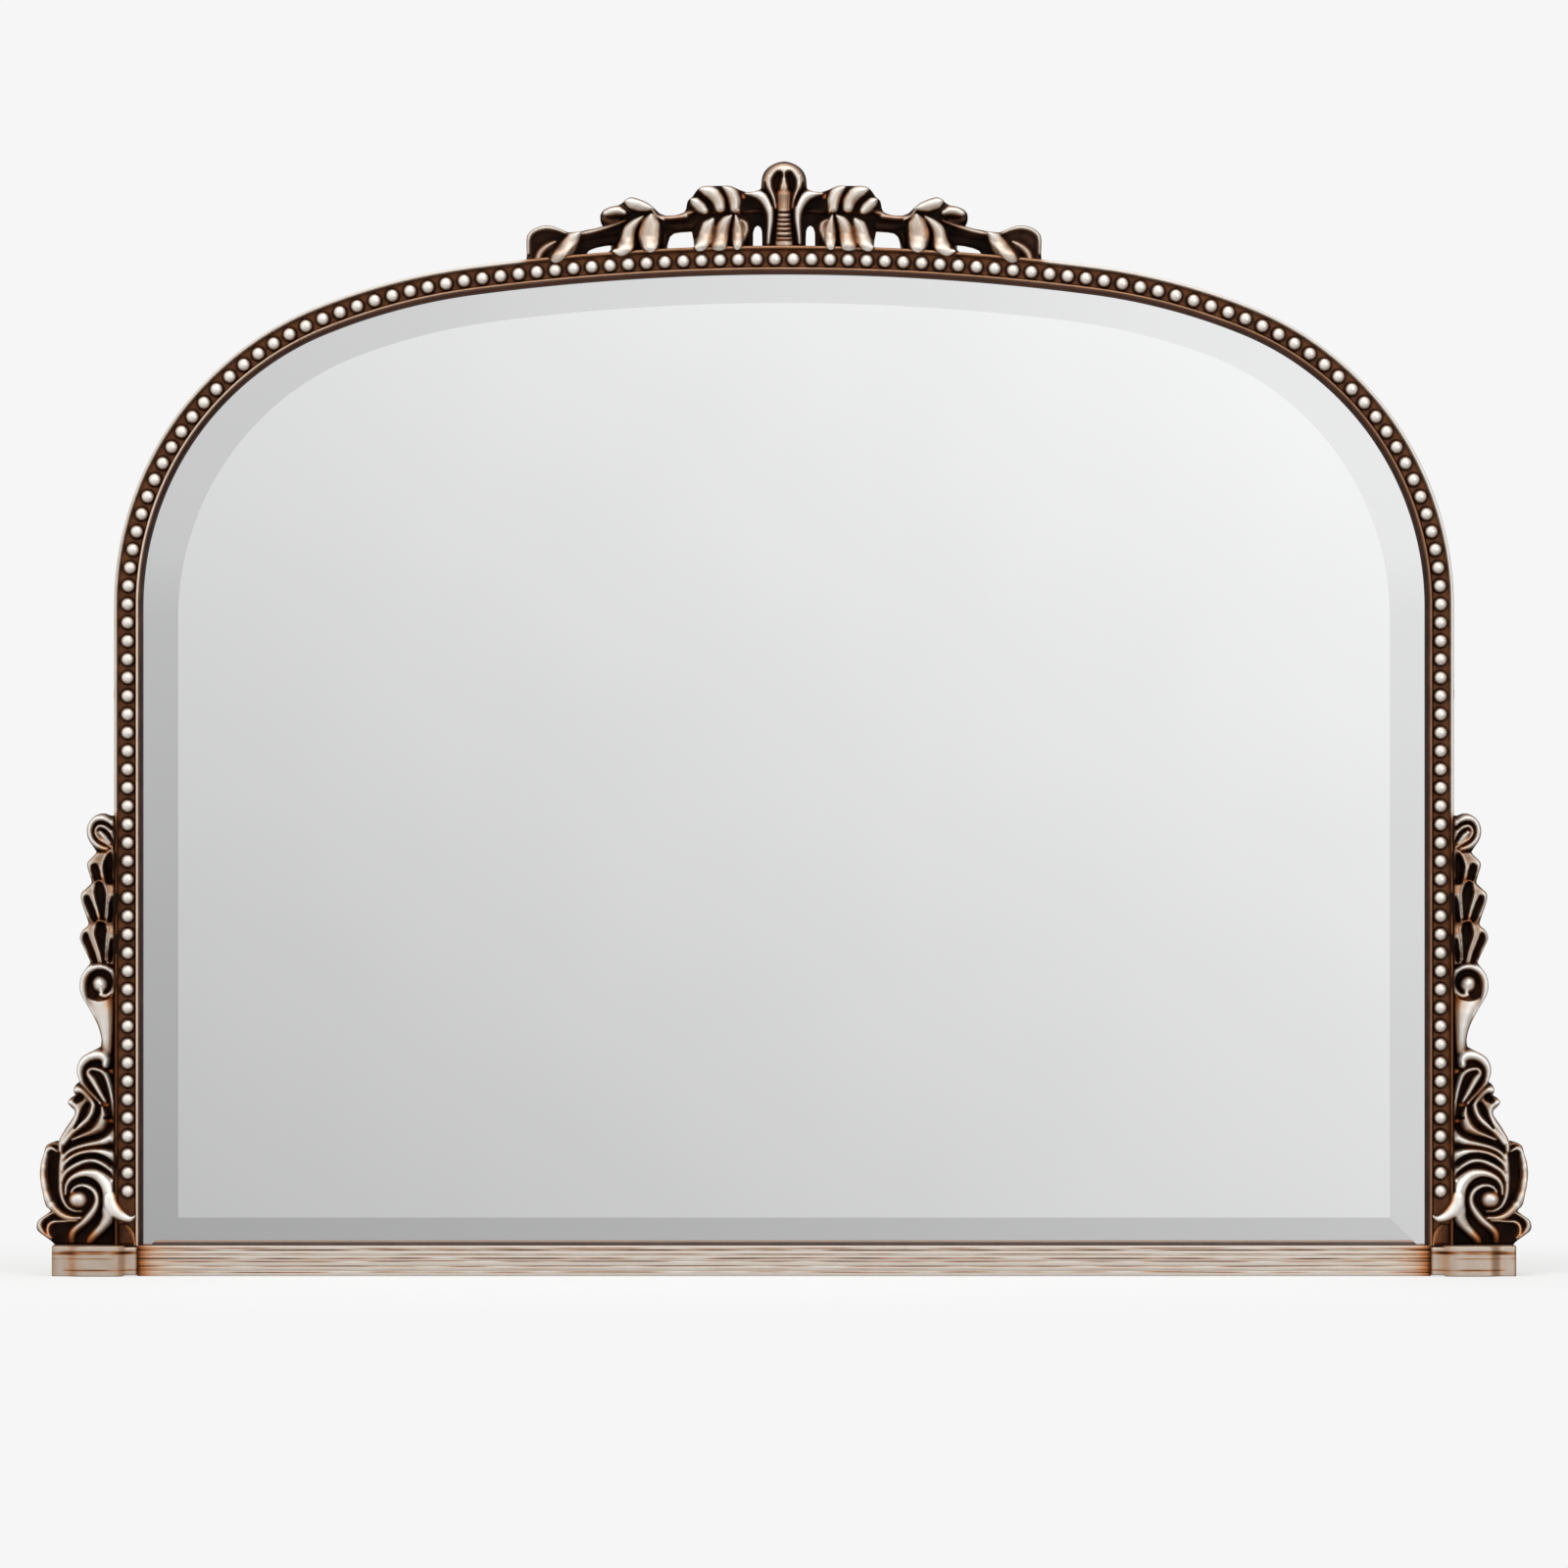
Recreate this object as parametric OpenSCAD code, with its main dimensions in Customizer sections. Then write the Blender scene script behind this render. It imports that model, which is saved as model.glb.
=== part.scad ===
// Arched overmantel wall mirror: a bevelled glass in a beaded moulding, on a reeded
// base rail and two plinth blocks, with a carved crest and carved side ornaments.
// Millimetres. X to the right, Z up, the front faces -Y, the wall is on the +Y side.

/* [Opening] */
// Half the width of the visible opening
sight_half = 524.6; // [500:0.1:560]
// Height of the opening's highest point above the floor line
sight_top = 818.4; // [780:0.1:860]
// Radius of the flat middle arc of the arch
crown_radius = 1935; // [1800:1:2050]
// Radius of the arcs between the middle arc and the corner arcs
haunch_radius = 497; // [470:1:540]
// Where the middle arc ends, in degrees from the vertical
crown_angle = 7.5; // [6.5:0.1:8.5]
// Where the corner arc begins, in degrees from the vertical
haunch_angle = 22; // [20:0.5:25]

/* [Moulding] */
// Width of the moulding seen from the front
frame_w = 22.4; // [21:0.1:26]
// Depth of the moulding from its back to its inner rim
frame_depth = 33; // [31:0.5:38]
// Depth of the beaded channel below the inner rim
channel_depth = 6; // [4:0.5:7]
// Width of the dark lip that slopes down to the glass
lip_w = 3.4; // [2.5:0.1:4]
// Thickness of the lip at the opening
lip_t = 4.5; // [3:0.1:6]
// Wall between the back board and the outer edge
outer_wall = 5.6; // [4.5:0.1:7]
// How far the glass rebate reaches outward from the opening
rebate_w = 10.8; // [10:0.1:11.4]

/* [Beads] */
// Radius of one bead
bead_r = 5.2; // [4.2:0.1:5.4]
// How far a bead stands above the channel floor
bead_height = 7.7; // [5:0.1:8.5]
// Distance from the opening to the line of beads
bead_line = 11.3; // [11.2:0.1:12]
// Number of beads on each half of the frame
beads_per_side = 78; // [60:1:78]
// Height of the lowest bead
first_bead_z = 68.8; // [66:0.1:90]

/* [Glass] */
// Thickness of the mirror glass
glass_t = 5; // [4:0.5:6]
// Thickness left at the glass edge below the bevel
glass_edge_t = 2.5; // [1.5:0.1:3.5]
// Width of the bevel
bevel_w = 34; // [30:0.5:35]
// Width of bevel seen beside each stile
bevel_show_side = 29.4; // [28:0.1:30.5]
// Width of bevel seen below the crown
bevel_show_top = 24; // [22.5:0.1:25]
// Height of the bevel line above the floor line
bevel_line_z = 46.8; // [46.8:0.1:60]
// Radius of the middle arc of the bevel line
field_crown_radius = 1850; // [1800:1:1900]
// Radius of the haunch arcs of the bevel line
field_haunch_radius = 516; // [505:1:525]
// Where the middle arc of the bevel line ends, in degrees
field_crown_angle = 7.2; // [7:0.1:7.4]
// Where the corner arc of the bevel line begins, in degrees
field_haunch_angle = 20.1; // [19.5:0.1:20.7]

/* [Back] */
// Thickness of the back board
board_t = 9; // [6:0.5:10]
// Gap all round between the back board and the moulding's wall
board_gap = 0.4; // [0.2:0.1:1]
// Thickness of the pads between the board and the glass
pad_t = 8; // [7:0.5:9]
// Diameter of the pads
pad_d = 24; // [15:1:30]
// Thickness of the bumpers that keep the frame off the wall
bumper_t = 6; // [5.5:0.5:9]
// Diameter of the bumpers
bumper_d = 16; // [10:1:19]
// Radius of the board screws
screw_r = 1.5; // [1.2:0.1:1.7]
// Length of the board screws
screw_l = 17; // [15:0.5:19]
// Radius of the glued dowels at the joints of the frame
dowel_r = 2.5; // [2:0.1:2.8]
// Length of the glued dowels
dowel_l = 24; // [16:1:28]

/* [Base] */
// Height of the base rail and the plinth blocks
base_h = 24.5; // [23:0.1:26]
// Depth of the base rail
rail_depth = 40; // [38:0.5:43]
// Depth of the reeds on the rail's front
reed_depth = 1.6; // [0.8:0.1:2]
// Number of reeds on the rail's front
reed_count = 6; // [4:1:7]
// Full depth of the plinth blocks, at the bulged middle
block_depth = 50; // [47:0.5:54]
// Depth of the wings at both sides of a block
wing_depth = 43.5; // [42:0.5:45]
// Width of the whole block
block_w = 69.5; // [66:0.1:74]
// Width of the outer wing
outer_wing_w = 16; // [13:0.1:18]
// Width of the inner wing
inner_wing_w = 11.1; // [9:0.1:13]
// How far a block's inner end stands outward from the opening
block_reveal = 2.7; // [2:0.1:6]

/* [Ornament] */
// Depth of the carved ground's back
ground_back = 8; // [6:0.5:9]
// Thickness of the carved ground
ground_t = 8; // [7:0.5:9]
// Thickness of the leaf bodies that stand on the ground
leaf_t = 5; // [3:0.5:6]
// Rise of the main ridges above the leaf bodies
ridge_rise = 8; // [5:0.5:9]
// Radius of the steel pins that hold the ornaments
pin_r = 1.5; // [1.2:0.1:1.7]
// Length of the steel pins
pin_l = 18; // [15:1:19]

/* [Hangers] */
// Height of the hinge of the two hanging rings
hanger_z = 480; // [430:1:500]
// Radius of the ring's wire
wire_r = 1.25; // [1:0.05:1.4]
// Distance from the middle of the ring to its legs
ring_half = 10; // [9.5:0.1:11]
// Length of the ring's straight legs
ring_leg = 5; // [4:0.5:8]
// Thickness of the hanger plate
strap_t = 1.1; // [0.9:0.1:1.2]
// Width of the hanger plate
strap_w = 13.6; // [12:0.1:13.8]
// Length of the hanger plate above the hinge
strap_l = 34; // [32:1:40]
// Running clearance of the wire in the plate's curl
hinge_gap = 0.05; // [0.03:0.01:0.08]

/* [Hidden] */

// The moulding's width and the base's height that the carving was drawn for
drawn_frame_w = 22.4;
drawn_base_h = 24.5;
// Half the depth of the whole mirror, bumpers included
half_depth = (block_depth + bumper_t) / 2;
// The frame's back plane
back_y = half_depth - bumper_t;
outer_half = sight_half + frame_w;
outer_top = sight_top + frame_w;
glass_back = board_t + pad_t;
glass_front = glass_back + glass_t;
bevel_fall = glass_t - glass_edge_t;
// Room between the glass bevel and the lip or rail in front of it
glass_room = 0.3;
floor_d = frame_depth - channel_depth;
// Width of the inner rim and of the rounded outer edge
rim_w = 1.9;
edge_w = 2;
channel_slope = 0.7;
// Width of glass covered at the stiles, and at the crown
cover_side = bevel_w - bevel_show_side;
cover_top = bevel_w - bevel_show_top;
lip_back = glass_front - bevel_fall + bevel_fall * cover_top / bevel_w + glass_room;
glass_bottom = bevel_line_z - bevel_w;
rail_cover = base_h - glass_bottom;
rail_lip_back = glass_front - bevel_fall + bevel_fall * rail_cover / bevel_w + glass_room;
ledge_z = glass_bottom - glass_room;
board_bottom = 6;
// Where the board's edge and the rebate wall stand, outward from the opening
board_edge = frame_w - outer_wall - board_gap;
landing_mid = (rebate_w + frame_w - outer_wall) / 2;
dowel_u = 16;
dowel_d = (glass_back + floor_d) / 2 - 1.5;
glue_gap = 0.05;
tiny = 0.01;
sweep_step = 2;
block_inner = sight_half + block_reveal;

// The five arcs of an arch as [centre, radius, first angle, last angle], right half only
function arcs(half, top, rc, rh, ac, ah) =
    let (cc = [0, top - rc])
    let (ch = cc + (rc - rh) * [sin(ac), cos(ac)])
    let (rk = (half - rc * sin(ac) - rh * (sin(ah) - sin(ac))) / (1 - sin(ah)))
    let (ck = ch + (rh - rk) * [sin(ah), cos(ah)])
    [[cc, rc, 0, ac], [ch, rh, ac, ah], [ck, rk, ah, 90]];

sight = arcs(sight_half, sight_top, crown_radius, haunch_radius, crown_angle, haunch_angle);
field = arcs(sight_half - bevel_show_side, sight_top - bevel_show_top, field_crown_radius,
    field_haunch_radius, field_crown_angle, field_haunch_angle);
spring_z = sight[2][0][1];

// A point on an arc, moved outward, at an angle from the vertical
function on_arc(a, out, angle) = a[0] + (a[1] + out) * [sin(angle), cos(angle)];

// The closed outline of an arched plate that stands out from an arch
function arch_outline(a, out, bottom) = concat(
    [[-a[2][0][0] - a[2][1] - out, bottom], [a[2][0][0] + a[2][1] + out, bottom]],
    [for (k = [2:-1:0]) for (t = [a[k][3]:-sweep_step / (k == 0 ? 4 : 1):a[k][2] + tiny])
        on_arc(a[k], out, t)],
    [on_arc(a[0], out, 0)],
    [for (k = [0:2]) for (t = [a[k][2] + sweep_step / 4:sweep_step / (k == 0 ? 4 : 1):a[k][3] - tiny])
        let (p = on_arc(a[k], out, t)) [-p[0], p[1]]],
    [let (p = on_arc(a[2], out, 90)) [-p[0], p[1]]]
);

// Turns a front view drawing (X, Z) into a body whose depth grows forward from the back
module upright() translate([0, back_y, 0]) rotate([90, 0, 0]) children();

// A drawn outline as a slab between two depths
module slab(points, from, to) translate([0, 0, from]) linear_extrude(to - from) polygon(points);

module on_side(sign) mirror([sign < 0 ? 1 : 0, 0, 0]) children();

// Section of the moulding: outward from the opening, and forward from the back
module moulding_section() {
    polygon([
        [frame_w, 0], [frame_w, frame_depth - 2.4], [frame_w - 0.6, frame_depth - 1.3],
        [frame_w - edge_w + 0.4, frame_depth - 1.3], [frame_w - edge_w, frame_depth - 2.4],
        [frame_w - edge_w - 1, floor_d], [lip_w + rim_w + channel_slope, floor_d],
        [lip_w + rim_w, frame_depth - 0.5], [lip_w + rim_w - 0.5, frame_depth],
        [lip_w + 0.5, frame_depth], [lip_w, frame_depth - 0.6],
        [lip_w - 0.6, frame_depth - 3.4], [0.8, lip_back + lip_t + 0.6],
        [0, lip_back + lip_t - 0.6], [0, lip_back], [rebate_w, lip_back],
        [rebate_w, board_t], [frame_w - outer_wall, board_t], [frame_w - outer_wall, 0]
    ]);
}

// The moulding carried along one arc, between two angles from the vertical
module moulding_arc(a, first, last) {
    translate([a[0][0], a[0][1], 0])
        rotate([0, 0, 90 - last])
            rotate_extrude(angle = last - first, $fn = 360)
                translate([a[1], 0]) moulding_section();
}

// A round hole or pin in the moulding's joint, along the moulding at an angle on an arc
module joint_rod(p, angle, r, l) {
    translate([p[0], p[1], dowel_d])
        rotate([0, 0, -angle])
            rotate([0, 90, 0]) cylinder(h = l, r = r, center = true, $fn = 48);
}

spring_joint = [sight_half + dowel_u, spring_z];
haunch_joint = on_arc(sight[2], dowel_u, haunch_angle);
crown_joint = on_arc(sight[1], dowel_u, crown_angle);
foot_joint = [sight_half + dowel_u, base_h];
rail_joint_z = base_h / 3;
rail_joint_d = rail_depth * 0.62;

module dowel_rods(r, l) {
    joint_rod(spring_joint, 90, r, l);
    joint_rod(foot_joint, 90, r, l);
    joint_rod(haunch_joint, haunch_angle, r, l);
    joint_rod(crown_joint, crown_angle, r, l);
}

module rail_rod(r, l) {
    translate([block_inner, rail_joint_z, rail_joint_d])
        rotate([0, 90, 0]) cylinder(h = l, r = r, center = true, $fn = 48);
}

// Where the board screws stand, for one half
screw_z_stile = [90, 270];
screw_angle_corner = [50];
screw_angle_crown = [2.9, 6.3];
screw_x_rail = [0, 240, 470];
screw_z_rail = (board_bottom + ledge_z) / 2;

function board_screw_places() = concat(
    [for (z = screw_z_stile) [sight_half + landing_mid, z]],
    [for (t = screw_angle_corner) on_arc(sight[2], landing_mid, t)],
    [for (t = screw_angle_crown) on_arc(sight[0], landing_mid, t)],
    [for (x = screw_x_rail) [x, screw_z_rail]]
);
hanger_x = sight_half + landing_mid;
hanger_screw_z = [hanger_z + 12, hanger_z + 26];

module rods(places, r, from, to) {
    for (p = places) translate([p[0], p[1], from]) cylinder(h = to - from, r = r, $fn = 32);
}

hanger_screw_l = 14;

// All screw holes of one half, for the moulding and the rail
module pilot_holes() {
    rods(board_screw_places(), screw_r + glue_gap, board_t - 1, screw_l + 0.5);
    rods([for (z = hanger_screw_z) [hanger_x, z]], screw_r + glue_gap, board_t - 1,
        hanger_screw_l + 0.5);
}

// Pins between the moulding and the carved grounds
side_pin_z = [75, 160, 230, 320];
crest_pin_angle = [0, 1.75, 4.1, 5.1];
pin_d = ground_back + ground_t / 2;

module side_pins(r, l) {
    for (z = side_pin_z) translate([outer_half, z, pin_d])
        rotate([0, 90, 0]) cylinder(h = l, r = r, center = true, $fn = 32);
}

module crest_pins(r, l, signs) {
    for (t = crest_pin_angle) for (s = signs) if (t > 0 || s > 0)
        let (p = on_arc(sight[0], frame_w, t))
            translate([s * p[0], p[1], pin_d]) rotate([0, 0, -s * t])
                rotate([-90, 0, 0]) cylinder(h = l, r = r, center = true, $fn = 32);
}

module stile(sign) {
    color([0.45, 0.36, 0.29]) upright() on_side(sign) {
        difference() {
            translate([sight_half, spring_z, 0]) rotate([90, 0, 0])
                linear_extrude(spring_z - base_h) moulding_section();
            dowel_rods(dowel_r + glue_gap, dowel_l + 1);
            pilot_holes();
            side_pins(pin_r + glue_gap, pin_l + 1);
        }
        // Carved boss at the foot of the channel
        slab(foot_boss, floor_d - tiny, frame_depth + 2);
    }
}

// The boss at the foot of the stile, as drawn from the opening's edge and the base
foot_boss = [
    for (p = [[4.2, 0], [4.8, 8], [7.2, 13], [10.5, 17], [14, 18], [17, 17.6], [19.2, 16], [19.2, 0]])
        [sight_half + p[0] + (frame_w - drawn_frame_w) / 2, base_h + p[1]]
];

// One curved length of the moulding at one side
module bend(sign, a) {
    color([0.45, 0.36, 0.29]) upright() on_side(sign) difference() {
        moulding_arc(a, a[2], a[3]);
        dowel_rods(dowel_r + glue_gap, dowel_l + 1);
        pilot_holes();
    }
}

module crown_moulding() {
    color([0.45, 0.36, 0.29]) upright() difference() {
        moulding_arc(sight[0], -crown_angle, crown_angle);
        for (s = [1, -1]) on_side(s) {
            dowel_rods(dowel_r + glue_gap, dowel_l + 1);
            pilot_holes();
        }
        crest_pins(pin_r + glue_gap, pin_l + 1, [1, -1]);
    }
}

// Length of the bead line on the stile, the corner arc, the haunch arc and the crown arc
bead_run = concat([spring_z - first_bead_z],
    [for (k = [2:-1:0]) (sight[k][1] + bead_line) * (sight[k][3] - sight[k][2]) * PI / 180]);
bead_pitch = (bead_run[0] + bead_run[1] + bead_run[2] + bead_run[3]) / (beads_per_side - 0.5);

// A point at a distance along the bead line, measured from the lowest bead
function bead_at(s) =
    s <= bead_run[0] ? [sight_half + bead_line, first_bead_z + s] :
    s <= bead_run[0] + bead_run[1] ? bead_on(2, s - bead_run[0]) :
    s <= bead_run[0] + bead_run[1] + bead_run[2] ? bead_on(1, s - bead_run[0] - bead_run[1]) :
    bead_on(0, s - bead_run[0] - bead_run[1] - bead_run[2]);
function bead_on(k, s) =
    on_arc(sight[k], bead_line, sight[k][3] - s / (sight[k][1] + bead_line) * 180 / PI);

// A bead is a ball cut flat where it sits on the channel floor
bead_centre = bead_height - bead_r;

module bead_string(sign) {
    color([0.86, 0.84, 0.81]) upright() on_side(sign) for (i = [0:beads_per_side - 1])
        let (p = bead_at(i * bead_pitch)) translate([p[0], p[1], floor_d])
            intersection() {
                translate([0, 0, bead_centre]) sphere(r = bead_r, $fn = 32);
                cylinder(h = bead_height + 1, r = bead_r + 1, $fn = 24);
            }
}

// Front face of the rail, as shallow round reeds from the top down
reed_h = base_h / reed_count;
rail_face = [for (i = [0:reed_count - 1]) for (t = [0:30:150])
    [base_h - reed_h * (i + (1 - cos(t)) / 2), rail_depth - reed_depth + reed_depth * sin(t)]];

module base_rail() {
    color([0.8, 0.78, 0.76]) upright() difference() {
        rotate([0, -90, 0]) translate([0, 0, -block_inner]) linear_extrude(2 * block_inner)
            rotate(90) polygon(concat(
                [for (p = rail_face) [p[0], -p[1]]],
                [[0, -rail_depth + reed_depth], [0, 0], [board_bottom - board_gap, 0],
                    [board_bottom - board_gap, -board_t], [ledge_z, -board_t],
                    [ledge_z, -rail_lip_back], [base_h, -rail_lip_back]]));
        for (s = [1, -1]) on_side(s) {
            rail_rod(dowel_r + glue_gap, dowel_l + 1);
            pilot_holes();
        }
    }
}

// Plan of a plinth block: along X from its inner end, and forward
wing_blend = 3.2;
block_plan = [
    [0, 0], [block_w, 0], [block_w, wing_depth - 1.5], [block_w - 1.5, wing_depth],
    [block_w - outer_wing_w + wing_blend, wing_depth],
    [block_w - outer_wing_w + 0.4, wing_depth + 1.2],
    [block_w - outer_wing_w - 1.2, block_depth - 2.2],
    [block_w - outer_wing_w - 4, block_depth - 0.5],
    [block_w - outer_wing_w - 9, block_depth],
    [inner_wing_w + 9, block_depth], [inner_wing_w + 4, block_depth - 0.5],
    [inner_wing_w + 1.2, block_depth - 2.2], [inner_wing_w - 0.4, wing_depth + 1.2],
    [inner_wing_w - wing_blend, wing_depth], [0, wing_depth]
];

module plinth_block(sign) {
    color([0.62, 0.58, 0.54]) upright() on_side(sign) difference() {
        translate([block_inner, base_h, 0]) rotate([90, 0, 0]) linear_extrude(base_h)
            polygon(block_plan);
        // Pocket for the lower corner of the glass
        translate([block_inner - 1, ledge_z, board_t])
            cube([sight_half + cover_side + glass_room + 1 - block_inner, base_h, rail_lip_back - board_t]);
        dowel_rods(dowel_r + glue_gap, dowel_l + 1);
        rail_rod(dowel_r + glue_gap, dowel_l + 1);
    }
}

// The glass: a flat back, a thin straight edge, and a bevel up to the flat field
module mirror_glass() {
    edge = arch_outline(field, bevel_w, glass_bottom);
    line = arch_outline(field, 0, bevel_line_z);
    n = len(edge);
    color([0.83, 0.84, 0.85]) upright() polyhedron(
        concat(
            [for (p = edge) [p[0], p[1], glass_back]],
            [for (p = edge) [p[0], p[1], glass_front - bevel_fall]],
            [for (p = line) [p[0], p[1], glass_front]]),
        concat(
            [[for (i = [0:n - 1]) i], [for (i = [n - 1:-1:0]) 2 * n + i]],
            [for (k = [0:1]) for (i = [0:n - 1]) let (j = (i + 1) % n)
                [k * n + i, k * n + n + i, k * n + n + j, k * n + j]]));
}

// Pads between board and glass, right half: rows beside the stile and in the field, and two below the crown
pad_rows = [60, 260, 460];
pad_inset = 30;
pad_places = [
    for (z = pad_rows) for (x = [sight_half / 3, sight_half - pad_inset]) [x, z],
    for (t = [[haunch_angle, 6 * pad_inset], [0, 4 * pad_inset]])
        on_arc(sight[1], -t[1], t[0])
];

module glass_pads() {
    color([0.2, 0.2, 0.2]) upright() for (s = [1, -1]) on_side(s) for (p = pad_places)
        translate([p[0], p[1], board_t]) cylinder(h = pad_t, r = pad_d / 2, $fn = 48);
}

module back_board() {
    side = sight_half + board_edge;
    color([0.62, 0.48, 0.32]) upright() difference() {
        slab(arch_outline(sight, board_edge, board_bottom), 0, board_t);
        // Steps that clear the plinth blocks
        for (s = [1, -1]) on_side(s) {
            translate([block_inner - board_gap, 0, -1]) cube([side, base_h + board_gap, board_t + 2]);
            rods(board_screw_places(), screw_r + 0.25, -1, board_t + 1);
            rods([for (z = hanger_screw_z) [hanger_x, z]], screw_r + 0.25, -1, board_t + 1);
            for (p = board_screw_places()) translate([p[0], p[1], -tiny])
                cylinder(h = 2.2, r1 = 3.3, r2 = screw_r + 0.25, $fn = 32);
        }
    }
}

// A countersunk screw seen from behind, its head at the back
module board_screw() {
    cylinder(h = 2, r1 = 3, r2 = screw_r, $fn = 32);
    translate([0, 0, 2]) cylinder(h = screw_l - 2, r = screw_r, $fn = 32);
}

module board_screws() {
    color([0.7, 0.65, 0.45]) upright() for (s = [1, -1]) on_side(s)
        for (p = board_screw_places()) if (p[0] > tiny || s > 0)
            translate([p[0], p[1], 0.1]) board_screw();
}

module joint_dowels() {
    color([0.8, 0.66, 0.45]) upright() for (s = [1, -1]) on_side(s) {
        dowel_rods(dowel_r, dowel_l);
        rail_rod(dowel_r, dowel_l);
    }
}

module ornament_pins() {
    color([0.6, 0.6, 0.62]) upright() {
        for (s = [1, -1]) on_side(s) side_pins(pin_r, pin_l);
        crest_pins(pin_r, pin_l, [1, -1]);
    }
}

// Bumpers on the backs of the blocks and on the board's shoulders
shoulder_inset = 110;
bumper_places = [[block_inner + block_w / 2, base_h / 2], on_arc(sight[2], -shoulder_inset, 45)];

module wall_bumpers() {
    color([0.12, 0.12, 0.12]) upright() for (s = [1, -1]) on_side(s)
        for (p = bumper_places) translate([p[0], p[1], -bumper_t])
            cylinder(h = bumper_t, r = bumper_d / 2, $fn = 64);
}

// The hinge line of a hanging ring, behind the frame's back
hinge_d = -(strap_t + wire_r + 0.1);
curl_r = wire_r + hinge_gap + strap_t - 0.1;

module hanger_plate(sign) {
    color([0.75, 0.72, 0.6]) upright() on_side(sign) difference() {
        union() {
            translate([hanger_x - strap_w / 2, hanger_z, -strap_t]) cube([strap_w, strap_l, strap_t]);
            translate([hanger_x - strap_w / 2, hanger_z, hinge_d]) rotate([0, 90, 0])
                cylinder(h = strap_w, r = curl_r, $fn = 64);
        }
        translate([hanger_x - strap_w, hanger_z, hinge_d]) rotate([0, 90, 0])
            cylinder(h = 2 * strap_w, r = wire_r + hinge_gap, $fn = 64);
        rods([for (z = hanger_screw_z) [hanger_x, z]], screw_r + 0.15, -strap_t - 3, 1);
    }
}

// A closed wire ring: a straight bar in the curl, two legs and a half-round bow
ring_bend = 2.4;

module wire_bend(p, start, sweep, r) {
    translate([p[0], p[1], 0]) rotate([0, 0, start])
        rotate_extrude(angle = sweep, $fn = 96) translate([r, 0]) circle(r = wire_r, $fn = 32);
}

module hanger_ring(sign) {
    bar = ring_half - ring_bend;
    color([0.8, 0.78, 0.7]) upright() on_side(sign) translate([hanger_x, hanger_z, hinge_d]) {
        translate([-bar, 0, 0]) rotate([0, 90, 0]) cylinder(h = 2 * bar, r = wire_r, $fn = 48);
        wire_bend([bar, -ring_bend], 0, 90, ring_bend);
        wire_bend([-bar, -ring_bend], 90, 90, ring_bend);
        for (s = [-1, 1]) translate([s * ring_half, -ring_bend, 0]) rotate([90, 0, 0])
            cylinder(h = ring_leg, r = wire_r, $fn = 48);
        wire_bend([0, -ring_bend - ring_leg], 180, 180, ring_half);
    }
}

module hanger_screws() {
    color([0.75, 0.72, 0.6]) upright() for (s = [1, -1]) on_side(s)
        for (z = hanger_screw_z) translate([hanger_x, z, -strap_t]) {
            cylinder(h = hanger_screw_l + strap_t, r = screw_r, $fn = 32);
            translate([0, 0, -1.4]) cylinder(h = 1.4, r1 = 1.8, r2 = 2.8, $fn = 32);
        }
}

// Carved relief. A drawn stroke is a list of points with a half width at each.

// How deep a stroke is sunk into the body that carries it
stroke_sink = 0.6;

// How far each length of a stroke reaches into the next one, below the surface
stroke_lap = 0.8;

// The ring of five points across a stroke at one of its points
function stroke_ring(p, w, base, rise, i) =
    let (q = p[min(i + 1, len(p) - 1)] - p[max(i - 1, 0)])
    let (n = [-q[1], q[0]] / norm(q))
    let (h = rise * (0.35 + 0.65 * w[i] / max(w)))
    [for (k = [[1, 0], [0.7, 0.7], [0, 1], [-0.7, 0.7], [-1, 0]])
        concat(p[i] + n * w[i] * k[0], [base + (k[1] == 0 ? -stroke_sink : h * k[1])])];

// A rounded ridge carried along a drawn stroke, each length with a blunt core at both ends
module stroke(p, w, base, rise) {
    for (i = [0:len(p) - 2])
        let (lap = stroke_lap * (p[i + 1] - p[i]) / norm(p[i + 1] - p[i])) hull()
            polyhedron(
                concat(stroke_ring(p, w, base, rise, i), stroke_ring(p, w, base, rise, i + 1),
                    [concat(p[i] - lap, [base + rise / 4]), concat(p[i + 1] + lap, [base + rise / 4])]),
                [[0, 1, 2, 3, 4], [5, 6, 7, 8, 9], [0, 10, 11]]);
}

// Round strokes of one width, for the thin rims
module rim(p, w, base, rise) {
    last = len(p) - 1;
    stroke(p, [for (i = [0:last]) i == 0 || i == last ? w / 2 : w], base, rise);
}

ground_front = ground_back + ground_t;
leaf_front = ground_front + leaf_t;
// Lowest level of a leaf that lies over the moulding
over_frame = frame_depth + 0.4;
// The side drawing's own zero lines, and where it stands on this frame
side_x = outer_half - 1;
side_lift = base_h - drawn_base_h;
module side_place() translate([side_x, side_lift, 0]) children();

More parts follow.
